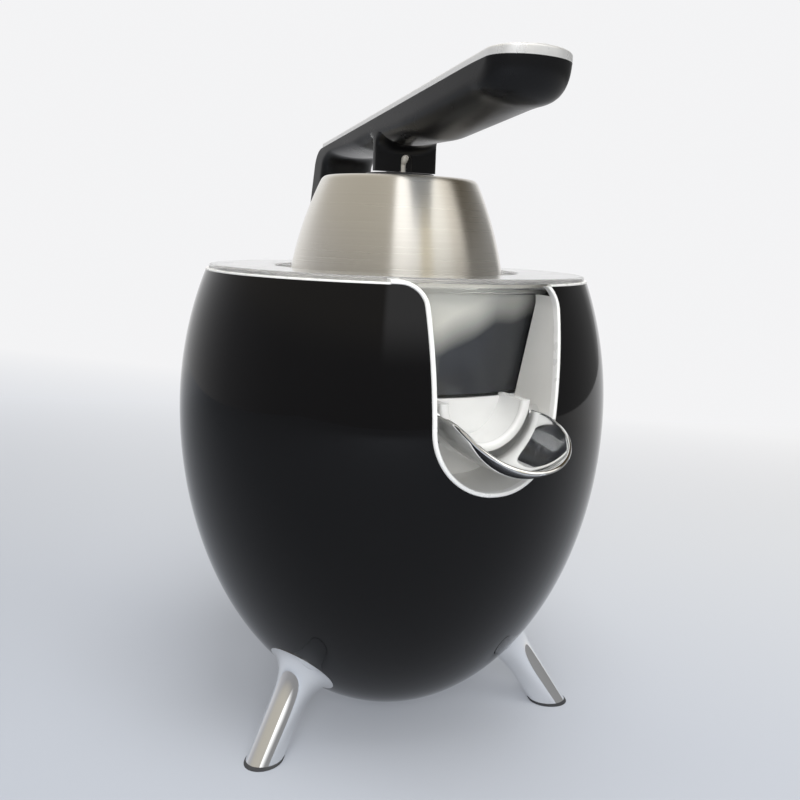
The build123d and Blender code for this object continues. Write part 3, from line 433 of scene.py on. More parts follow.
def bodySkin():
    # outer egg and inner egg as grids of height and azimuth whose ends follow the notch's edge,
    # joined at the rim, along the notch and round the floor
    d = bodySet
    leftEdge, rightEdge = (notchSide(0.0, way, land=False) for way in (-1, 1))
    sink = math.asin((notchSet["bottom"] - d["bellyHeight"]) / d["lowerDrop"])
    start = math.asin((d["base"] - d["bellyHeight"]) / d["lowerDrop"])
    lower = d["bellyHeight"] + d["lowerDrop"] * np.sin(np.linspace(start, sink, 70)[:-1])
    height = np.concatenate([lower, leftEdge[:, 1]])
    leftReach = np.concatenate([np.zeros(len(lower)), leftEdge[:, 0]])
    rightReach = np.interp(height, rightEdge[:, 1], rightEdge[:, 0])
    rightReach[:len(lower) + 1] = 0
    share = np.linspace(0, 1, d["around"])[None, :]

    def skin(inset, heights):
        radius = eggRadius(heights, inset)
        ends = (rightReach, leftReach)
        first, last = (np.arcsin(np.clip(reach / radius, 0, 1))[:, None] for reach in ends)
        return swung(radius[:, None], heights[:, None], first + (2 * np.pi - first - last) * share)

    floorTop = d["base"] + d["floor"]
    run = d["footRun"]  # over this height the inside catches up with the outside
    squeezed = floorTop + (height - d["base"]) * run / (run + d["floor"])
    inside = np.where(height < floorTop + run, squeezed, height)
    outer, inner = skin(0.0, height), skin(d["wall"], inside)
    cut = len(lower)
    coverTop = d["base"] + d["coverDepth"]
    floorPath = np.array([
        [eggRadius(d["base"]), d["base"]], [d["coverSeat"], d["base"]],
        [d["coverSeat"], coverTop], [d["ventRadius"], coverTop],
        [d["ventRadius"], floorTop], [eggRadius(floorTop, d["wall"]), floorTop],
    ], float)
    grids = [
        sheet(*outer), sheet(*inner), sheet(outer[-1], inner[-1]),
        sheet(outer[cut:, 0], inner[cut:, 0]), sheet(outer[cut:, -1], inner[cut:, -1]),
        sheet(*swung(floorPath[:, :1], floorPath[:, 1:], 2 * np.pi * share)),
    ]
    return addPiece("bodySkin", grids, "base", "gloss_black", ["body_shell"])


bodySkin()
print("body skin done")


# bright rim ring, notch bead and liner

rimSet = {"height": 0.8, "cutClear": 0.1, "edge": 0.3, "around": 200}
beadSet = {"gap": 0.1, "width": 1.8, "proud": 0.7, "edge": 0.8}
linerSet = {
    "gap": 0.1, "wall": 1.8, "inset": 2.6, "top": 207.4, "back": 66.0, "shelf": 145.4, "bowlGap": 0.6,
}
bowlSet = {
    "floorRadius": 68.5, "floorLow": 146.0, "topRadius": 77.0, "flangeLow": 208.0, "flange": 2.5,
    "flangeRadius": 84.0, "wall": 2.5, "chimneyBore": 9.0, "chimneyOuter": 11.5, "chimneyTop": 180.0,
    "rounds": (0, 5, 1.5, 0.6, 0.6, 0.8, 0, 4, 2, 0.6, 0.6), "milkyRise": 16.5, "around": 160,
    "outletRadius": 20.0, "outletReach": 88.0, "outletSink": 1.2,
    "lipLength": 3.2, "lipProud": 0.7, "lipIn": 0.6, "lipFade": 0.3,
}


def bowlOuter(height):
    # radius of the bowl's straight leaning wall at a height
    slope = (bowlSet["topRadius"] - bowlSet["floorRadius"]) / (bowlSet["flangeLow"] - bowlSet["floorLow"])
    return bowlSet["floorRadius"] + slope * (np.asarray(height, float) - bowlSet["floorLow"])


def rimRing():
    # rounded bar bent round the axis, its two ends cut off level beside the notch
    d = rimSet
    low = bodySet["rim"]
    inner, outer = eggRadius(low, bodySet["wall"]), eggRadius(low)
    high = low + d["height"]
    loop = roundedPath(
        [[outer, low], [outer, high], [inner, high], [inner, low]], [0, d["edge"], d["edge"], 0], 6
    )
    ends = (notchSide(0.0, way)[-1, 0] + d["cutClear"] for way in (-1, 1))
    last, first = (np.arcsin(end / loop[:, :1]) for end in ends)
    share = np.linspace(0, 1, d["around"])[None, :]
    points = swung(loop[:, :1], loop[:, 1:], first + (2 * np.pi - first - last) * share)
    return addPiece("rimRing", bar(points), "base", "silver_trim", ["rim_trim"])


def notchBead():
    # the bead's section lives in (inset of the outline, inset of the egg); each of its points is carried
    # along its own outline and laid on its own egg
    d = beadSet
    near, far, top, wall = d["gap"], d["gap"] + d["width"], -d["proud"], bodySet["wall"]
    section = roundedPath(
        [[near, wall], [near, top], [far, top], [far, wall]], [0, d["edge"], d["edge"], 0], 6
    )
    lines = []
    for inset, sink in section:
        path = joinSides(notchSide(inset, -1), notchSide(inset, 1))
        radius = eggRadius(path[:, 1], sink)
        lines.append(spots(path[:, 0], -np.sqrt(radius**2 - path[:, 0] ** 2), path[:, 1]))
    return addPiece("notchBead", bar(np.stack(lines)), "base", "silver_trim", ["notch_trim"])


def notchLiner():
    # U-shaped wall between the egg's inside and the bowl, with a back plate below the bowl's floor
    d = linerSet

    def edge(inset, way):
        side = notchSide(inset, way, land=False)
        top = np.array([[np.interp(d["top"], side[:, 1], side[:, 0]), d["top"]]])
        return evenly(np.concatenate([side[side[:, 1] < d["top"]], top]), 90)

    def tunnel(inset):
        path = joinSides(edge(inset, -1), edge(inset, 1))
        front = -np.sqrt(eggRadius(path[:, 1], d["inset"]) ** 2 - path[:, 0] ** 2)
        reach = np.where(path[:, 1] > d["shelf"], bowlOuter(path[:, 1]) + d["bowlGap"], 0)
        curved = -np.sqrt(np.clip(reach**2 - path[:, 0] ** 2, 0, None))
        back = np.where(path[:, 1] > d["shelf"], curved, -d["back"])
        depth = np.linspace(0, 1, 10)[:, None]
        return spots(path[:, 0], front + (back - front) * depth, path[:, 1])

    outer, inner = tunnel(d["gap"]), tunnel(d["gap"] + d["wall"])
    loop = np.concatenate([outer, inner[::-1]])
    left, right = edge(d["gap"], -1), edge(d["gap"], 1)
    z = np.linspace(left[0, 1], d["shelf"], 24)[:, None]
    leftReach, rightReach = np.interp(z, left[:, 1], left[:, 0]), np.interp(z, right[:, 1], right[:, 0])
    x = -leftReach + (leftReach + rightReach) * np.linspace(0, 1, 30)[None, :]
    near = spots(x, -d["back"] - d["wall"], z)
    far = near + np.array([0, d["wall"], 0])
    grids = [*bar(loop), sheet(*near), sheet(*far), sheet(near[-1], far[-1])]
    return addPiece("notchLiner", grids, "base", "silver_liner", ["spout_recess"])


rimRing()
notchBead()
notchLiner()
print("rim, bead and liner done")


# clear bowl with its outlet, and the clear lid

lidSet = {
    "radius": 87.0, "low": 212.3, "height": 2.0, "plate": 1.6, "skirt": 2.2, "hole": 57.0, "collar": 2.0,
    "collarDrop": 3.0, "gapHalf": 18.0, "gapFront": 63.0, "cornerNear": 65.6, "cornerFar": 67.0,
    "skirtRun": 1.0, "rimEnd": 80.0, "rimRounds": (0, 0.5, 1.4, 0), "holeEnd": 60.0,
    "holeRounds": (0, 0.9, 0.6, 0.6, 0.6, 0), "around": 180,
}


def juiceBowl():
    # closed outline turned round the axis
    b = bowlSet
    floorTop = b["floorLow"] + b["wall"]
    top = b["flangeLow"] + b["flange"]
    innerTop = b["topRadius"] - b["wall"]
    outline = roundedPath(
        [
            [b["chimneyBore"], b["floorLow"]], [b["floorRadius"], b["floorLow"]],
            [b["topRadius"], b["flangeLow"]], [b["flangeRadius"], b["flangeLow"]], [b["flangeRadius"], top],
            [innerTop, top], [innerTop, b["flangeLow"]], [b["floorRadius"] - b["wall"], floorTop],
            [b["chimneyOuter"], floorTop], [b["chimneyOuter"], b["chimneyTop"]],
            [b["chimneyBore"], b["chimneyTop"]],
        ],
        b["rounds"], 7,
    )
    outline = evenly(np.concatenate([outline, outline[:1]]), 260)[:-1]
    grids = [lathe(outline, b["around"])]
    bowl = addPiece("juiceBowl", grids, "base", "clear_plastic", ["juice_bowl"], 30.0)
    # below the strainer the thick wall and floor look milky like the outlet
    bowl.data.materials.append(outletFinish)
    centres = np.empty(len(bowl.data.polygons) * 3)
    bowl.data.polygons.foreach_get("center", centres)
    low = centres[2::3] < (floorTop + b["milkyRise"]) * mm
    bowl.data.polygons.foreach_set("material_index", low.astype(np.int32))
    return bowl


def juiceOutlet():
    # open half pipe under the bowl's wall, with a thick rounded lip: radius and depth over angle and step
    b = bowlSet
    bore = b["outletRadius"] - b["wall"]
    axis = b["floorLow"] + b["wall"] + bore
    angle = np.linspace(-np.pi / 2, np.pi / 2, 60)
    lip = np.linspace(0, b["lipLength"], 15)
    rear = b["outletReach"] - b["floorRadius"] + b["outletSink"]
    depth = np.concatenate([lip, np.linspace(b["lipLength"] + b["lipFade"], rear, 9)])[:, None]
    edge = np.clip(1 - np.abs(depth / b["lipLength"] * 2 - 1) ** 3, 0, 1) * (depth <= b["lipLength"])

    def halfPipe(radius):
        return spots(radius * np.sin(angle), depth - b["outletReach"], axis - radius * np.cos(angle))

    outer, inner = halfPipe(b["outletRadius"] + b["lipProud"] * edge), halfPipe(bore - b["lipIn"] * edge)
    grids = [sheet(*outer), sheet(*inner)]
    grids += [sheet(outer[row], inner[row]) for row in (0, -1)]
    grids += [sheet(outer[:, column], inner[:, column]) for column in (0, -1)]
    return addPiece("juiceOutlet", grids, "base", "clear_plastic", (), 50.0, outletFinish)


def clearLid():
    # flat ring with a skirt and a collar, turned round the axis up to the gap for the lever's hinge:
    # the gap's sides stand at a fixed x and its front at a fixed y
    d = lidSet
    top, under = d["low"] + d["height"], d["low"] + d["height"] - d["plate"]
    drop = d["low"] - d["collarDrop"]
    nearRun = np.linspace(d["gapFront"], d["cornerNear"], 8)
    farRun = np.linspace(d["cornerFar"], d["radius"] - d["skirt"] - d["skirtRun"], 10)
    steps = np.concatenate([nearRun, farRun])
    outside, skirtIn = d["radius"], d["radius"] - d["skirt"]
    bore, collarOut = d["hole"], d["hole"] + d["collar"]
    rim = roundedPath(
        [[skirtIn, d["low"]], [outside, d["low"]], [outside, top], [d["rimEnd"], top]],
        d["rimRounds"], 6, closed=False,
    )[:-1]
    hole = roundedPath(
        [
            [d["holeEnd"], top], [bore, top], [bore, drop], [collarOut, drop], [collarOut, under],
            [d["holeEnd"], under],
        ],
        d["holeRounds"], 6, closed=False,
    )
    topRun = np.stack([steps[::-1], np.full(len(steps), top)], axis=1)
    underRun = np.stack([steps, np.full(len(steps), under)], axis=1)
    loop = np.concatenate([rim, topRun, hole, underRun, np.array([[skirtIn, under]])])
    radius = loop[:, :1]
    toSide = np.arcsin(np.clip(d["gapHalf"] / radius, 0, 1))
    toFront = np.arccos(np.clip(d["gapFront"] / radius, 0, 1))
    ends = np.pi - np.where(radius < d["gapFront"], 0, np.minimum(toSide, toFront))
    points = swung(radius, loop[:, 1:], ends * np.linspace(-1, 1, d["around"])[None, :])
    count, first = len(steps), len(rim)
    upper = np.arange(first + count - 1, first - 1, -1)
    start = first + count + len(hole)
    lower = np.arange(start, start + count)
    grids = [(points, True, False)]
    for column in (0, -1):
        grids.append(sheet(points[upper, column], points[lower, column]))
        skirt = np.concatenate([points[:first + 1, column], points[lower[-1]:, column]])
        grids.append(fan(skirt))
    return addPiece("clearLid", grids, "base", "clear_plastic", ["lid"], 30.0, lidFinish)


juiceBowl()
juiceOutlet()
clearLid()
print("bowl and lid done")


# steel dome and its dark collar

domeSet = {
    "low": 207.0, "top": 255.5, "lowRadius": 50.5, "topRadius": 35.5, "bulge": 2.0, "shoulder": 2.0,
    "wall": 1.2, "hole": 2.5, "flatStep": 20.0, "around": 200,
}
collarSet = {"radius": 16.0, "height": 2.0, "edge": 0.5, "hole": 2.5, "around": 96}


def pressDome():
    # side is an arc that bulges past its chord, the shoulder a quadratic curve, the inside an even offset
    d = domeSet
    foot, head = np.array([d["lowRadius"], d["low"]]), np.array([d["topRadius"], d["top"]])
    chord = head - foot
    length = np.linalg.norm(chord)
    outward = np.array([chord[1], -chord[0]]) / length
    share = np.linspace(0, 1, 60)[:, None]
    arc = foot + chord * share + outward * d["bulge"] * 4 * share * (1 - share)
    near = arc[np.linalg.norm(arc - head, axis=1) > d["shoulder"]]
    t = np.linspace(0, 1, 12)[1:, None]
    over = head - np.array([d["shoulder"], 0])
    curve = (1 - t) ** 2 * near[-1] + 2 * t * (1 - t) * head + t**2 * over
    outer = np.concatenate([near, curve, np.array([[d["flatStep"], d["top"]], [d["hole"], d["top"]]])])
    along = np.gradient(outer, axis=0)
    along /= np.linalg.norm(along, axis=1)[:, None]
    inner = outer + np.stack([-along[:, 1], along[:, 0]], axis=1) * d["wall"]
    inner[0] = [d["lowRadius"] - d["wall"], d["low"]]
    inner[:, 0] = np.maximum(inner[:, 0], d["hole"])
    inner[-1, 0] = d["hole"]
    loop = np.concatenate([outer, inner[::-1]])
    grids = [lathe(loop, d["around"])]
    return addPiece("pressDome", grids, "dome", "brushed_steel", ["press_dome"], 50.0)


def domeCollar():
    # flat disc with a rounded upper edge, turned round the axis
    d = collarSet
    low, high = domeSet["top"], domeSet["top"] + d["height"]
    loop = roundedPath(
        [[d["hole"], low], [d["radius"], low], [d["radius"], high], [d["hole"], high]],
        [0, 0, d["edge"], 0], 5,
    )
    return addPiece("domeCollar", [lathe(loop, d["around"])], "dome", "dark_plastic", ["dome_collar"])


pressDome()
domeCollar()
print("dome done")


# lever with its neck and hinge knuckle, and the silver plate on it

leverSet = {
    "slope": 7.07, "seam": 280.4, "tip": 114.0, "nose": 11.0, "rear": 73.0, "half": 17.5, "rearHalf": 14.0,
    "bend": 12.0, "droop": 1.3, "droopFrom": 85.0, "front": 269.6, "flatFront": 42.0, "flatBack": 6.5,
    "stepBack": 12.0, "under": 267.5, "heel": 57.0, "chinBack": 1.5, "chinDepth": 15.5, "chinRound": 15.0,
    "flatRound": 60.0, "bendRound": 8.0, "edgeRise": 8.5, "edgeShare": 0.55, "edgeRun": 24.0,
    "thinnest": 0.3, "bendRun": 9.0, "hingeY": 76.0, "hingeZ": 228.0, "armEnd": 242.0,
    "knuckle": 10.0, "knuckleHalf": 9.0, "knuckleFrom": 165.0, "knuckleTo": 375.0, "knuckleLap": 3.0,
    "knuckleFront": 64.0, "knuckleBack": 82.5, "knuckleLift": 3.0, "knuckleEase": 0.94,
}
neckSet = {
    "half": 15.3, "front": -6.5, "back": -2.5, "low": 258.15, "high": 277.0, "corner": 0.8, "flare": 5.0,
    "slotHalf": 2.7, "slotTop": 266.0, "overlap": 0.1, "bore": 3.4, "boss": 6.4, "bossTop": 272.0,
    "bossGap": 25.0,
}
plateSet = {"front": 3.05, "back": 2.6, "rear": 64.0, "edge": 1.2, "crown": 0.25}


def seamAt(y, droop=True):
    # straight slope, with a slow bend down towards the tip
    d = leverSet
    past = np.clip(-d["droopFrom"] - y, 0, None) / (d["tip"] - d["droopFrom"])
    return d["seam"] - math.tan(math.radians(d["slope"])) * y - d["droop"] * droop * past**2


def leverTaper(y):
    # half width without the tip: a straight taper from the nose to the rear
    d = leverSet
    start = d["nose"] - d["tip"]
    share = np.clip((y - start) / (d["rear"] - start), 0, 1)
    return d["half"] + (d["rearHalf"] - d["half"]) * share


def leverHalf(y):
    # half width seen from above: an elliptic tip on a slow taper to the rear
    d = leverSet
    past = np.clip((d["nose"] - d["tip"] - y) / d["nose"], 0, 1)
    return leverTaper(y) * np.sqrt(1 - past**2)


def edgeLift(x, y, deep):
    # how far the underside rises towards the sides: half an ellipse, flatter where the arm is thin
    rise = np.minimum(leverSet["edgeRise"], leverSet["edgeShare"] * deep)
    return rise * (1 - np.sqrt(1 - np.clip(np.abs(x) / leverTaper(y), 0, 1) ** 2))


def leverArm():
    # stations along the arm, each a closed section between the seam above and the underside below;
    # the underside is one profile along y, set back by an ellipse across x so that the nose is round,
    # plus the lift of its edges
    d = leverSet
    under = roundedPath(
        [
            [-d["tip"], seamAt(-d["tip"]) - d["thinnest"]],
            [d["chinBack"] - d["tip"], seamAt(-d["tip"], droop=False) - d["chinDepth"]],
            [-d["flatFront"], d["front"]], [-d["flatBack"], d["front"]], [d["stepBack"], d["under"]],
            [d["heel"], d["under"]], [d["hingeY"] - d["knuckle"], d["hingeZ"]],
        ],
        [0, d["chinRound"], d["flatRound"], d["bendRound"], d["bendRound"], d["bendRound"], 0], 14,
        closed=False,
    )
    over = roundedPath(
        [
            [-d["tip"], seamAt(-d["tip"], droop=False)], [d["rear"], seamAt(d["rear"])],
            [d["hingeY"] + d["knuckle"], d["hingeZ"]],
        ],
        [0, d["bend"], 0], 14, closed=False,
    )
    bendStart = d["heel"] - d["bendRun"]
    turn = np.linspace(0, np.pi / 2, 30)
    nose = d["nose"] * (1 - np.cos(turn)) - d["tip"]
    y = np.concatenate([nose, np.linspace(nose[-1], bendStart, 80)[1:]])[:, None]
    cross = -np.cos(np.linspace(0, np.pi, 41))[None, :]
    profile = under[under[:, 0] <= bendStart]
    x = leverHalf(y) * cross
    setBack = d["nose"] * (1 - np.sqrt(1 - np.clip(np.abs(x) / leverTaper(y), 0, 1) ** 2))
    fade = np.clip((y + d["tip"]) / d["edgeRun"], 0, 1)
    floor = np.interp(np.maximum(y - setBack, -d["tip"]), profile[:, 0], profile[:, 1])
    middleDeep = seamAt(y) - np.interp(y, profile[:, 0], profile[:, 1])
    floor = floor + fade**2 * (3 - 2 * fade) * edgeLift(x, y, middleDeep)
    depth = seamAt(y) - np.minimum(floor, seamAt(y) - d["thinnest"])

    def tail(path):
        start = np.array([[bendStart, np.interp(bendStart, path[:, 0], path[:, 1])]])
        rest = path[path[:, 0] > bendStart]
        stop = rest[-2] + (rest[-1] - rest[-2]) * (rest[-2, 1] - d["armEnd"]) / (rest[-2, 1] - rest[-1, 1])
        return evenly(np.concatenate([start, rest[:-1], stop[None]]), 40)[1:]

    tailOver, tailUnder = tail(over), tail(under)
    fall = tailUnder - tailOver
    deep = np.linalg.norm(fall, axis=1)[:, None]
    tailX = leverHalf(tailOver[:, :1]) * cross
    upper = np.concatenate([np.concatenate([y, seamAt(y)], axis=1), tailOver])[:, None]
    down = np.concatenate([np.broadcast_to([0.0, -1.0], (len(y), 2)), fall / deep])[:, None]
    x = np.concatenate([x, tailX])
    depth = np.concatenate([depth, deep - edgeLift(tailX, tailOver[:, :1], deep)])
    wall = np.linspace(0, 1, 5)[None, :-1]
    across = np.concatenate([
        np.repeat(x[:, :1], 4, axis=1), x, np.repeat(x[:, -1:], 4, axis=1),
        x[:, -1:] * np.linspace(1, -1, 9)[None, 1:-1],
    ], axis=1)
    deepness = np.concatenate(
        [depth[:, :1] * wall, depth, depth[:, -1:] * wall[:, ::-1], np.zeros((len(x), 7))], axis=1
    )
    along = upper + down * deepness[..., None]
    return spots(across, along[..., 0], along[..., 1])


def leverNeck():
    # two upright cheeks beside the stud's arched slot, a block above that flares into the underside, and a
    # round socket behind them that is open towards the slot
    d = neckSet
    z = np.linspace(d["low"], d["slotTop"], 24)[:, None]
    past = np.clip(z - d["slotTop"] + d["slotHalf"], 0, None)
    slot = np.sqrt(np.clip(d["slotHalf"] ** 2 - past**2, 0, None))
    front, back, half, corner = d["front"], d["back"], d["half"], d["corner"]
    outline = roundedPath([[0, front], [half, front], [half, back], [0, back]], [0, corner, corner, 0], 5)
    x = slot + (1 - slot / half) * outline[:, 0]
    cheek = spots(x, outline[:, 1], z)
    grids = []
    for way in (-1, 1):
        grids += stack(cheek * np.array([way, 1, 1]))
    rows = np.linspace(d["slotTop"] - d["overlap"], d["high"], 26)[:, None]
    plan = roundedPath([[-half, front], [half, front], [half, back], [-half, back]], [corner] * 4, 5)
    plan = evenly(np.concatenate([plan, plan[:1]]), 90)[:-1]
    middle, deep = (front + back) / 2, (back - front) / 2
    under = leverSet["front"] + edgeLift(plan[:, 0], middle, seamAt(middle) - leverSet["front"])
    past = np.clip((rows - under + d["flare"]) / d["flare"], 0, 1)
    swell = d["flare"] * (1 - np.sqrt(1 - past**2))
    y = middle + (plan[:, 1] - middle) * (1 + swell / deep)
    grids += stack(spots(plan[:, 0], y, rows))
    gap = math.radians(d["bossGap"])
    bore, boss, low, high = d["bore"], d["boss"], d["low"], d["slotTop"]
    wall = np.array([[bore, low], [boss, low], [boss, high], [bore, high]])
    grids += bar(swung(wall[:, :1], wall[:, 1:], np.linspace(gap, 2 * np.pi - gap, 60)[None, :]))
    capLow = d["slotTop"] - d["overlap"]
    cap = np.array([[0, capLow], [boss, capLow], [boss, d["bossTop"]], [0, d["bossTop"]]])
    return grids + [lathe(cap, 60)]


def leverKnuckle():
    # side outline round the hinge pin carried across the hinge's width, drawn in a little at both sides
    d = leverSet
    angle = np.linspace(math.radians(d["knuckleFrom"]), math.radians(d["knuckleTo"]), 40)
    hinge = np.array([d["hingeY"], d["hingeZ"]])
    ring = hinge + d["knuckle"] * np.stack([np.cos(angle), np.sin(angle)], axis=1)
    lap = d["armEnd"] + d["knuckleLap"]
    outline = np.concatenate([ring, np.array([[d["knuckleBack"], lap], [d["knuckleFront"], lap]])])
    ease = d["knuckleEase"]
    across = np.array([-1, -1, -ease, ease, 1, 1]) * d["knuckleHalf"]
    shrink = np.array([0.0, ease, 1, 1, ease, 0.0])
    middle = hinge + np.array([0, d["knuckleLift"]])
    ring = middle + (outline - middle)[None] * shrink[:, None, None]
    return spots(across[:, None], ring[..., 0], ring[..., 1]), False, True


def leverPlate():
    # plan outline of the lever as closed lines: up the side, over a rounded edge, then across a low crown
    d = plateSet
    tip, nose = -leverSet["tip"], leverSet["nose"]
    turn = np.linspace(0, np.pi / 2, 30)
    y = np.concatenate([tip + nose * (1 - np.cos(turn)), np.linspace(tip + nose, d["rear"], 60)[1:]])

    def line(inset, share, drop=None):
        middle = tip + inset + (y - tip) * (d["rear"] - tip - 2 * inset) / (d["rear"] - tip)
        half = np.maximum(leverHalf(y) - inset, 0) * share
        thick = np.interp(middle, [-leverSet["droopFrom"], d["rear"]], [d["front"], d["back"]])
        z = seamAt(middle) if drop is None else seamAt(middle, droop=False) + thick - drop
        right = spots(half, middle, z)
        return np.concatenate([right, right[::-1] * np.array([-1, 1, 1])])

    t = np.linspace(0, np.pi / 2, 8)
    lines = [line(0, 0), line(0, 1)]
    lines += [line(d["edge"] * (1 - math.cos(a)), 1, d["crown"] + d["edge"] * (1 - math.sin(a))) for a in t]
    lines += [line(d["edge"], share, d["crown"] * share**2) for share in (0.75, 0.5, 0.25, 0)]
    grids = [(np.stack(lines), False, True)]
    return addPiece("leverPlate", grids, "lever", "silver_trim", ["lever_top_plate"], 60.0, plateFinish)


def leverShell():
    # arm, knuckle and neck overlap inside and make one piece
    grids = [*stack(leverArm()), leverKnuckle(), *leverNeck()]
    shell = addPiece("leverShell", grids, "lever", "gloss_black", ["lever_shell"], 50.0, handleFinish)
    shell.visible_glossy = False  # the brushed dome shows no clear picture of the arm
    return shell


leverShell()
leverPlate()
print("lever done")


# chrome legs with rubber pads

legSet = {
    "footReach": 84.996, "rootReach": 61.796, "rootHeight": 34.0, "radius": 7.6, "flange": 16.5,
    "flareStart": 0.46, "trunkPull": 1.5, "rimPull": 0.9, "lip": 0.25, "sink": 0.6,
    "padThick": 1.6, "padRadius": 7.9, "padEdge": 0.5,
    "turns": {"left": -62.0, "right": 62.0, "rear": 180.0},
}


def legGrid():
    # straight round trunk from the pad; past the flare's start each line is a cubic curve that leaves along
    # the trunk and lands on the egg along its surface
    d = legSet
    foot = np.array([0, -d["footReach"], 0])
    root = np.array([0, -d["rootReach"], d["rootHeight"]])
    axis = root - foot
    length = np.linalg.norm(axis)
    axis = axis / length
    across = np.array([1.0, 0, 0])
    fore = np.cross(axis, across)
    turn = np.linspace(0, 2 * np.pi, 72, endpoint=False)[:, None]
    spoke = np.cos(turn) * across + np.sin(turn) * fore
    ring = foot + spoke * d["radius"]
    start = ring + axis * ((d["padThick"] - ring[:, 2:]) / axis[2])
    flare = ring + axis * length * d["flareStart"]
    # the flange's edge: a circle in the plane that touches the egg at the root, dropped onto the egg
    across2, up2 = bodySet["bellyRadius"] ** 2, bodySet["lowerDrop"] ** 2
    belly = bodySet["bellyHeight"]

    def eggSlope(place):
        return spots(place[..., 0] / across2, place[..., 1] / across2, (place[..., 2] - belly) / up2)

    slope = eggSlope(root)
    normal = slope / np.linalg.norm(slope)
    along = np.cross(normal, across)
    rim = root + d["flange"] * (np.cos(turn) * across + np.sin(turn) * -along)
    for _ in range(6):  # Newton steps onto the egg
        value = (rim[:, 0] ** 2 + rim[:, 1] ** 2) / across2 + (rim[:, 2] - belly) ** 2 / up2 - 1
        grade = eggSlope(rim) * 2
        rim = rim - grade * (value / (grade**2).sum(axis=1))[:, None]
    face = eggSlope(rim)
    face /= np.linalg.norm(face, axis=1)[:, None]
    out = rim - root
    out = out - face * (out * face).sum(axis=1)[:, None]
    out /= np.linalg.norm(out, axis=1)[:, None]
    t = np.linspace(0, 1, 26)[:, None, None]
    pull = np.linalg.norm(rim - flare, axis=1)[:, None]
    edge = rim + face * d["lip"]
    curve = (
        (2 * t**3 - 3 * t**2 + 1) * flare + (t**3 - 2 * t**2 + t) * axis * pull * d["trunkPull"]
        + (-2 * t**3 + 3 * t**2) * edge + (t**3 - t**2) * out * pull * d["rimPull"]
    )
    trunk = start + (flare - start) * np.linspace(0, 1, 10)[:-1, None, None]
    return np.concatenate([trunk, curve, (rim - face * d["sink"])[None]])


def padGrid():
    # the leg's slanted round cut level at two heights, with a rounded edge
    d = legSet
    lean = (d["footReach"] - d["rootReach"]) / d["rootHeight"]
    stretch = math.hypot(1, lean)
    e, h, r = d["padEdge"], d["padThick"], d["padRadius"]
    profile = roundedPath([[0, 0], [r, 0], [r, h], [0, h]], [0, e, e, 0], 5, closed=False)
    turn = np.linspace(0, 2 * np.pi, 64, endpoint=False)[None, :]
    reach, height = profile[:, :1], profile[:, 1:]
    x = reach * np.cos(turn)
    y = -d["footReach"] + reach * np.sin(turn) * stretch + height * lean
    return spots(x, y, height)


def spun(points, degrees):
    # points turned round Z
    a = math.radians(degrees)
    turn = np.array([[math.cos(a), -math.sin(a), 0], [math.sin(a), math.cos(a), 0], [0, 0, 1]])
    return points @ turn.T


for side, degrees in legSet["turns"].items():
    leg = spun(legGrid(), degrees)
    grids = [(leg, False, True), fan(leg[0])]
    addPiece("leg" + side.title(), grids, "base", "chrome", ["leg_" + side], 60.0)
    grids = [(spun(padGrid(), degrees), False, True)]
    addPiece("footPad" + side.title(), grids, "base", "rubber", ["foot_pad_" + side])
print("legs done")


# polished tilting spout

spoutSet = {
    "axis": 165.0, "radius": 23.0, "wall": 1.5, "rear": 80.0, "straight": 32.0, "nose": 28.0, "rim": 161.2,
    "rimFlat": 14.0, "rimFall": 25.0, "rollShare": 0.9, "pivotY": -84.0, "pivotZ": 160.0,
    "pivotRadius": 2.0, "pinEnd": 27.4, "pinEdge": 0.3,
    "bossRadius": 3.6, "bossStart": 20.6, "bossEnd": 25.6, "bossEdge": 0.4,
}


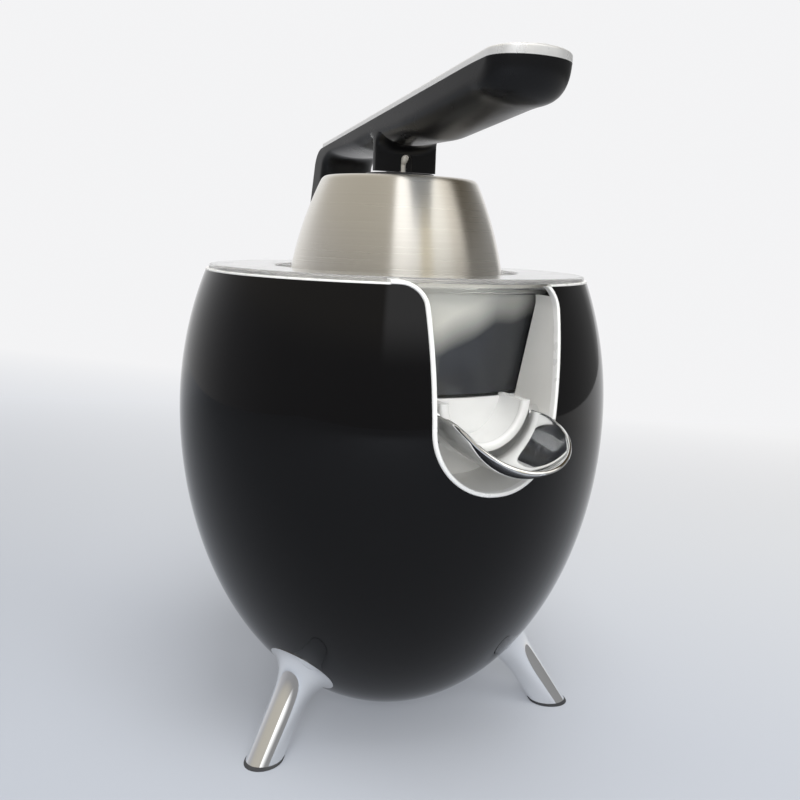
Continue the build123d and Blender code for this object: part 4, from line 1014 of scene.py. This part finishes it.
def pourSpout():
    # half of a round-nosed bullet: at each step along its axis the wall runs between the two points at the
    # rim's height, which is level at first and then falls by a square law; the inner wall is drawn in
    d = spoutSet

    def reach(step, inset):
        past = np.clip((step - d["straight"]) / (d["nose"] - inset), 0, 1)
        return (d["radius"] - inset) * np.sqrt(1 - past**2)

    def rimAngle(step, inset):
        past = np.clip((step - d["rimFlat"]) / (d["straight"] + d["nose"] - d["rimFlat"]), 0, 1)
        low = d["axis"] - d["rim"] + d["rimFall"] * past**2
        return low, np.arccos(np.clip(low / np.maximum(reach(step, inset), 1e-6), -1, 1))

    def wall(inset):
        steps = np.linspace(0, d["straight"] + d["nose"], 4000)
        low = rimAngle(steps, inset)[0]
        end = steps[np.argmax(reach(steps, inset) <= low)]
        step = end * np.sin(np.linspace(0, np.pi / 2, 70))
        angle = rimAngle(step, inset)[1]
        angle[-1] = 0
        share = np.linspace(-1, 1, 61)[None, :]
        turn = angle[:, None] * share
        radius = reach(step, inset)[:, None]
        return spots(radius * np.sin(turn), -d["rear"] - step[:, None], d["axis"] - radius * np.cos(turn))

    outer, inner = wall(0.0), wall(d["wall"])

    def rimRoll(column):
        # half-round edge between the outer and the inner rim
        t = np.linspace(0, np.pi, 7)[:, None, None]
        middle, half = (outer[:, column] + inner[:, column]) / 2, (outer[:, column] - inner[:, column]) / 2
        lift = np.array([0, 0, 1.0]) * np.linalg.norm(half, axis=1)[:, None] * d["rollShare"]
        return middle + half * np.cos(t) + lift * np.sin(t)

    grids = [sheet(*outer), sheet(*inner), sheet(outer[0], inner[0])]
    grids += [sheet(*rimRoll(column)) for column in (0, -1)]
    turn = np.linspace(0, 2 * np.pi, 32, endpoint=False)
    boss, pin, bossEdge, pinEdge = (d[k] for k in ("bossRadius", "pivotRadius", "bossEdge", "pinEdge"))
    profile = np.array([
        [0, d["bossStart"]], [boss, d["bossStart"]],
        [boss, d["bossEnd"] - bossEdge], [boss - bossEdge, d["bossEnd"]],
        [pin, d["bossEnd"]], [pin, d["pinEnd"] - pinEdge], [pin - pinEdge, d["pinEnd"]], [0, d["pinEnd"]],
    ])
    ring = profile[:, :1]
    y, z = d["pivotY"] + ring * np.cos(turn), d["pivotZ"] + ring * np.sin(turn)
    grids += [(spots(profile[:, 1:] * way, y, z), False, True) for way in (-1, 1)]
    return addPiece("pourSpout", grids, "spout", "chrome", ["pour_spout"], 60.0)


pourSpout()
print("spout done")


# stage, light and camera

stageSet = {
    "halfWidth": 1.55, "front": -1.6, "bendStart": 2.1, "bendRadius": 0.9, "height": 3.2,
    "paintedSideFalloff": 0.45, "paintedFalloffFrom": -0.35, "paintedFalloffTo": 0.9, "glowFrom": 0.25, "glowTo": 0.75, "glowLeast": 0.3,
    # floor tones from near to far: the darker near tones are painted light falloff
    "tones": [
        (0.0, (0.44, 0.475, 0.54)), (0.3, (0.54, 0.57, 0.63)),
        (0.6, (0.70, 0.72, 0.76)), (1.0, (0.90, 0.90, 0.91)),
    ],
}
lightSet = {
    "key": {"place": (-0.05, -0.35, 1.15), "aim": (0, 0, 0.1), "power": 6.5, "size": (0.6, 0.6)},
    "fill": {"place": (-0.45, -1.0, 0.5), "aim": (0, -0.08, 0.17), "power": 6.5, "size": (0.5, 0.5)},
    "ringFrom": 0.2, "ringTo": 0.5,
    # brightness round the object, from straight behind it (-180) past the camera (0), positive to the right
    "high": [
        (-180, (0.95, 0.94, 0.92)), (-150, (0.95, 0.94, 0.92)), (-130, (0.56, 0.53, 0.47)),
        (-60, (0.52, 0.49, 0.43)), (-7, (0.54, 0.51, 0.45)), (-4, (1.75, 1.75, 1.75)),
        (26, (1.75, 1.75, 1.75)), (29, (1.2, 1.1, 0.86)), (41, (1.2, 1.1, 0.86)), (44, (1.5, 1.5, 1.46)),
        (66, (1.5, 1.5, 1.46)), (69, (1.2, 1.15, 1.07)), (84, (1.2, 1.15, 1.07)), (92, (0.07, 0.055, 0.03)),
        (140, (0.07, 0.055, 0.03)), (146, (0.95, 0.95, 0.95)), (180, (0.95, 0.94, 0.92)),
    ],
    "low": [
        (-180, (0.90, 0.90, 0.90)), (-140, (0.85, 0.85, 0.86)), (-95, (0.45, 0.45, 0.47)),
        (-60, (0.32, 0.32, 0.33)), (-18, (0.28, 0.28, 0.285)), (18, (0.28, 0.28, 0.285)),
        (70, (0.28, 0.28, 0.28)), (140, (0.26, 0.26, 0.26)), (165, (0.85, 0.85, 0.85)),
        (180, (0.90, 0.90, 0.90)),
    ],
}
cameraSet = {
    "distance": 440.0, "height": 230.9, "azimuth": -25.5, "pitch": 10.28, "roll": 2.12, "focal": 924.3,
    "offset": -8.4, "frame": 800.0, "sensor": 36.0, "near": 0.01, "far": 20.0,
}


def stageFinish():
    # pale sweep: the near floor takes the object's shadow, the far part glows evenly like a lit backdrop;
    # both follow y + z, and the tone is also a little lighter to the right; the tone's darkening towards the
    # camera and towards the left is painted light falloff
    d = stageSet
    finish = bpy.data.materials.new("paleSweep")
    finish.use_nodes = True
    tree = finish.node_tree
    tree.nodes.clear()
    place = addNode(tree, "SeparateXYZ", {"Vector": addNode(tree, "TexCoord", {})["Object"]})
    along = addNode(tree, "Math", {0: place["Y"], 1: place["Z"]}, operation="ADD")["Value"]
    plugs = {0: place["X"], 1: d["paintedSideFalloff"], 2: along}
    slanted = addNode(tree, "Math", plugs, operation="MULTIPLY_ADD")["Value"]
    span = {"Value": slanted, "From Min": d["paintedFalloffFrom"], "From Max": d["paintedFalloffTo"]}
    # painted light falloff: darker near the camera and to the left
    tone = ramped(tree, addNode(tree, "MapRange", span)["Result"], d["tones"])
    # the glow is for the eye and for metal and glass, so it puts no extra light on the object
    ray = addNode(tree, "LightPath", {})
    seen = addNode(tree, "Math", {0: ray["Is Camera Ray"], 1: ray["Is Glossy Ray"]}, operation="ADD")["Value"]
    plugs = {0: seen, 1: ray["Is Transmission Ray"]}
    level = addNode(tree, "Math", plugs, operation="ADD", use_clamp=True)["Value"]
    matt = addNode(tree, "BsdfDiffuse", {"Color": tone})["BSDF"]
    glow = addNode(tree, "Emission", {"Color": tone, "Strength": level})["Emission"]
    span = {"Value": along, "From Min": d["glowFrom"], "From Max": d["glowTo"], "To Min": d["glowLeast"]}
    share = addNode(tree, "MapRange", span)["Result"]
    mixed = addNode(tree, "MixShader", {"Fac": share, 1: matt, 2: glow})["Shader"]
    addNode(tree, "OutputMaterial", {"Surface": mixed})
    return finish


def addStage():
    # floor, quarter-round bend and wall as one sheet turned to face the camera
    d = stageSet
    turn = np.linspace(0, np.pi / 2, 24)
    wallY = d["bendStart"] + d["bendRadius"]
    y = np.concatenate([[d["front"]], d["bendStart"] + d["bendRadius"] * np.sin(turn), [wallY]])
    z = np.concatenate([[0], d["bendRadius"] * (1 - np.cos(turn)), [d["height"]]])
    points = spots(np.array([-d["halfWidth"], d["halfWidth"]]), y[:, None], z[:, None])
    mesh = bpy.data.meshes.new("paleSweep")
    mesh.from_pydata(points.reshape(-1, 3).tolist(), [], gridQuads(len(y), 2, False, False).tolist())
    mesh.polygons.foreach_set("use_smooth", np.ones(len(mesh.polygons), dtype=bool))
    mesh.materials.append(stageFinish())
    sweep = bpy.data.objects.new("paleSweep", mesh)
    sweep.rotation_euler[2] = math.radians(cameraSet["azimuth"])
    scene.collection.objects.link(sweep)


def addWorld():
    # soft boxes and dark gaps as two rings of bands round the object, one low and one high, blended by
    # the height of the direction
    world = bpy.data.worlds.new("studio")
    world.use_nodes = True
    scene.world = world
    tree = world.node_tree
    where = addNode(tree, "TexCoord", {})["Generated"]
    a = math.radians(cameraSet["azimuth"])
    plugs = {}
    for k, axis in enumerate([(math.cos(a), math.sin(a), 0), (math.sin(a), -math.cos(a), 0)]):
        plugs[k] = addNode(tree, "VectorMath", {0: where, 1: axis}, operation="DOT_PRODUCT")["Value"]
    turn = addNode(tree, "Math", plugs, operation="ARCTAN2")["Value"]
    share = addNode(tree, "MapRange", {"Value": turn, "From Min": -math.pi, "From Max": math.pi})["Result"]
    height = addNode(tree, "SeparateXYZ", {"Vector": where})["Z"]
    span = {"Value": height, "From Min": lightSet["ringFrom"], "From Max": lightSet["ringTo"]}
    plugs = {0: addNode(tree, "MapRange", span, interpolation_type="SMOOTHSTEP")["Result"]}
    for socket, level in ((6, "low"), (7, "high")):
        stops = [(angle / 360 + 0.5, colour) for angle, colour in lightSet[level]]
        plugs[socket] = ramped(tree, share, stops)
    bands = addNode(tree, "Mix", plugs, data_type="RGBA")[2]
    tree.links.new(bands, tree.nodes["Background"].inputs["Color"])


def addLamp(name, place, aim, power, size):
    # square soft light that lights matt faces only; the bands of the world make the reflections
    lamp = bpy.data.lights.new(name, "AREA")
    lamp.shape = "RECTANGLE"
    lamp.size, lamp.size_y = size
    lamp.energy = power
    holder = bpy.data.objects.new(name, lamp)
    holder.location = place
    holder.rotation_euler = (Vector(aim) - Vector(place)).to_track_quat("-Z", "Y").to_euler()
    holder.visible_glossy = False
    scene.collection.objects.link(holder)


def addCamera():
    # level look at the axis from the azimuth, pitched down, then rolled; focal is in pixels of the frame
    d = cameraSet
    azimuth, pitch, roll = (math.radians(d[k]) for k in ("azimuth", "pitch", "roll"))
    right = np.array([math.cos(azimuth), math.sin(azimuth), 0])
    look = np.array([-math.sin(azimuth), math.cos(azimuth), 0])
    place = -d["distance"] * look + np.array([0, 0, d["height"]])
    forward = math.cos(pitch) * look - math.sin(pitch) * np.array([0, 0, 1])
    up = math.sin(pitch) * look + math.cos(pitch) * np.array([0, 0, 1])
    tiltedRight = math.cos(roll) * right + math.sin(roll) * up
    tiltedUp = -math.sin(roll) * right + math.cos(roll) * up
    lens = bpy.data.cameras.new("photoView")
    lens.sensor_width = d["sensor"]
    lens.lens = d["focal"] / d["frame"] * d["sensor"]
    lens.shift_x = -d["offset"] / d["frame"]
    lens.clip_start, lens.clip_end = d["near"], d["far"]
    camera = bpy.data.objects.new("photoView", lens)
    turn = Matrix([tiltedRight, tiltedUp, -forward]).transposed().to_4x4()
    camera.matrix_world = Matrix.Translation(place * mm) @ turn
    scene.collection.objects.link(camera)
    scene.camera = camera


addStage()
addWorld()
addLamp("keySoft", **lightSet["key"])
addLamp("fillSoft", **lightSet["fill"])
addCamera()
scene.view_settings.view_transform = "Standard"
print("stage, light and camera done")
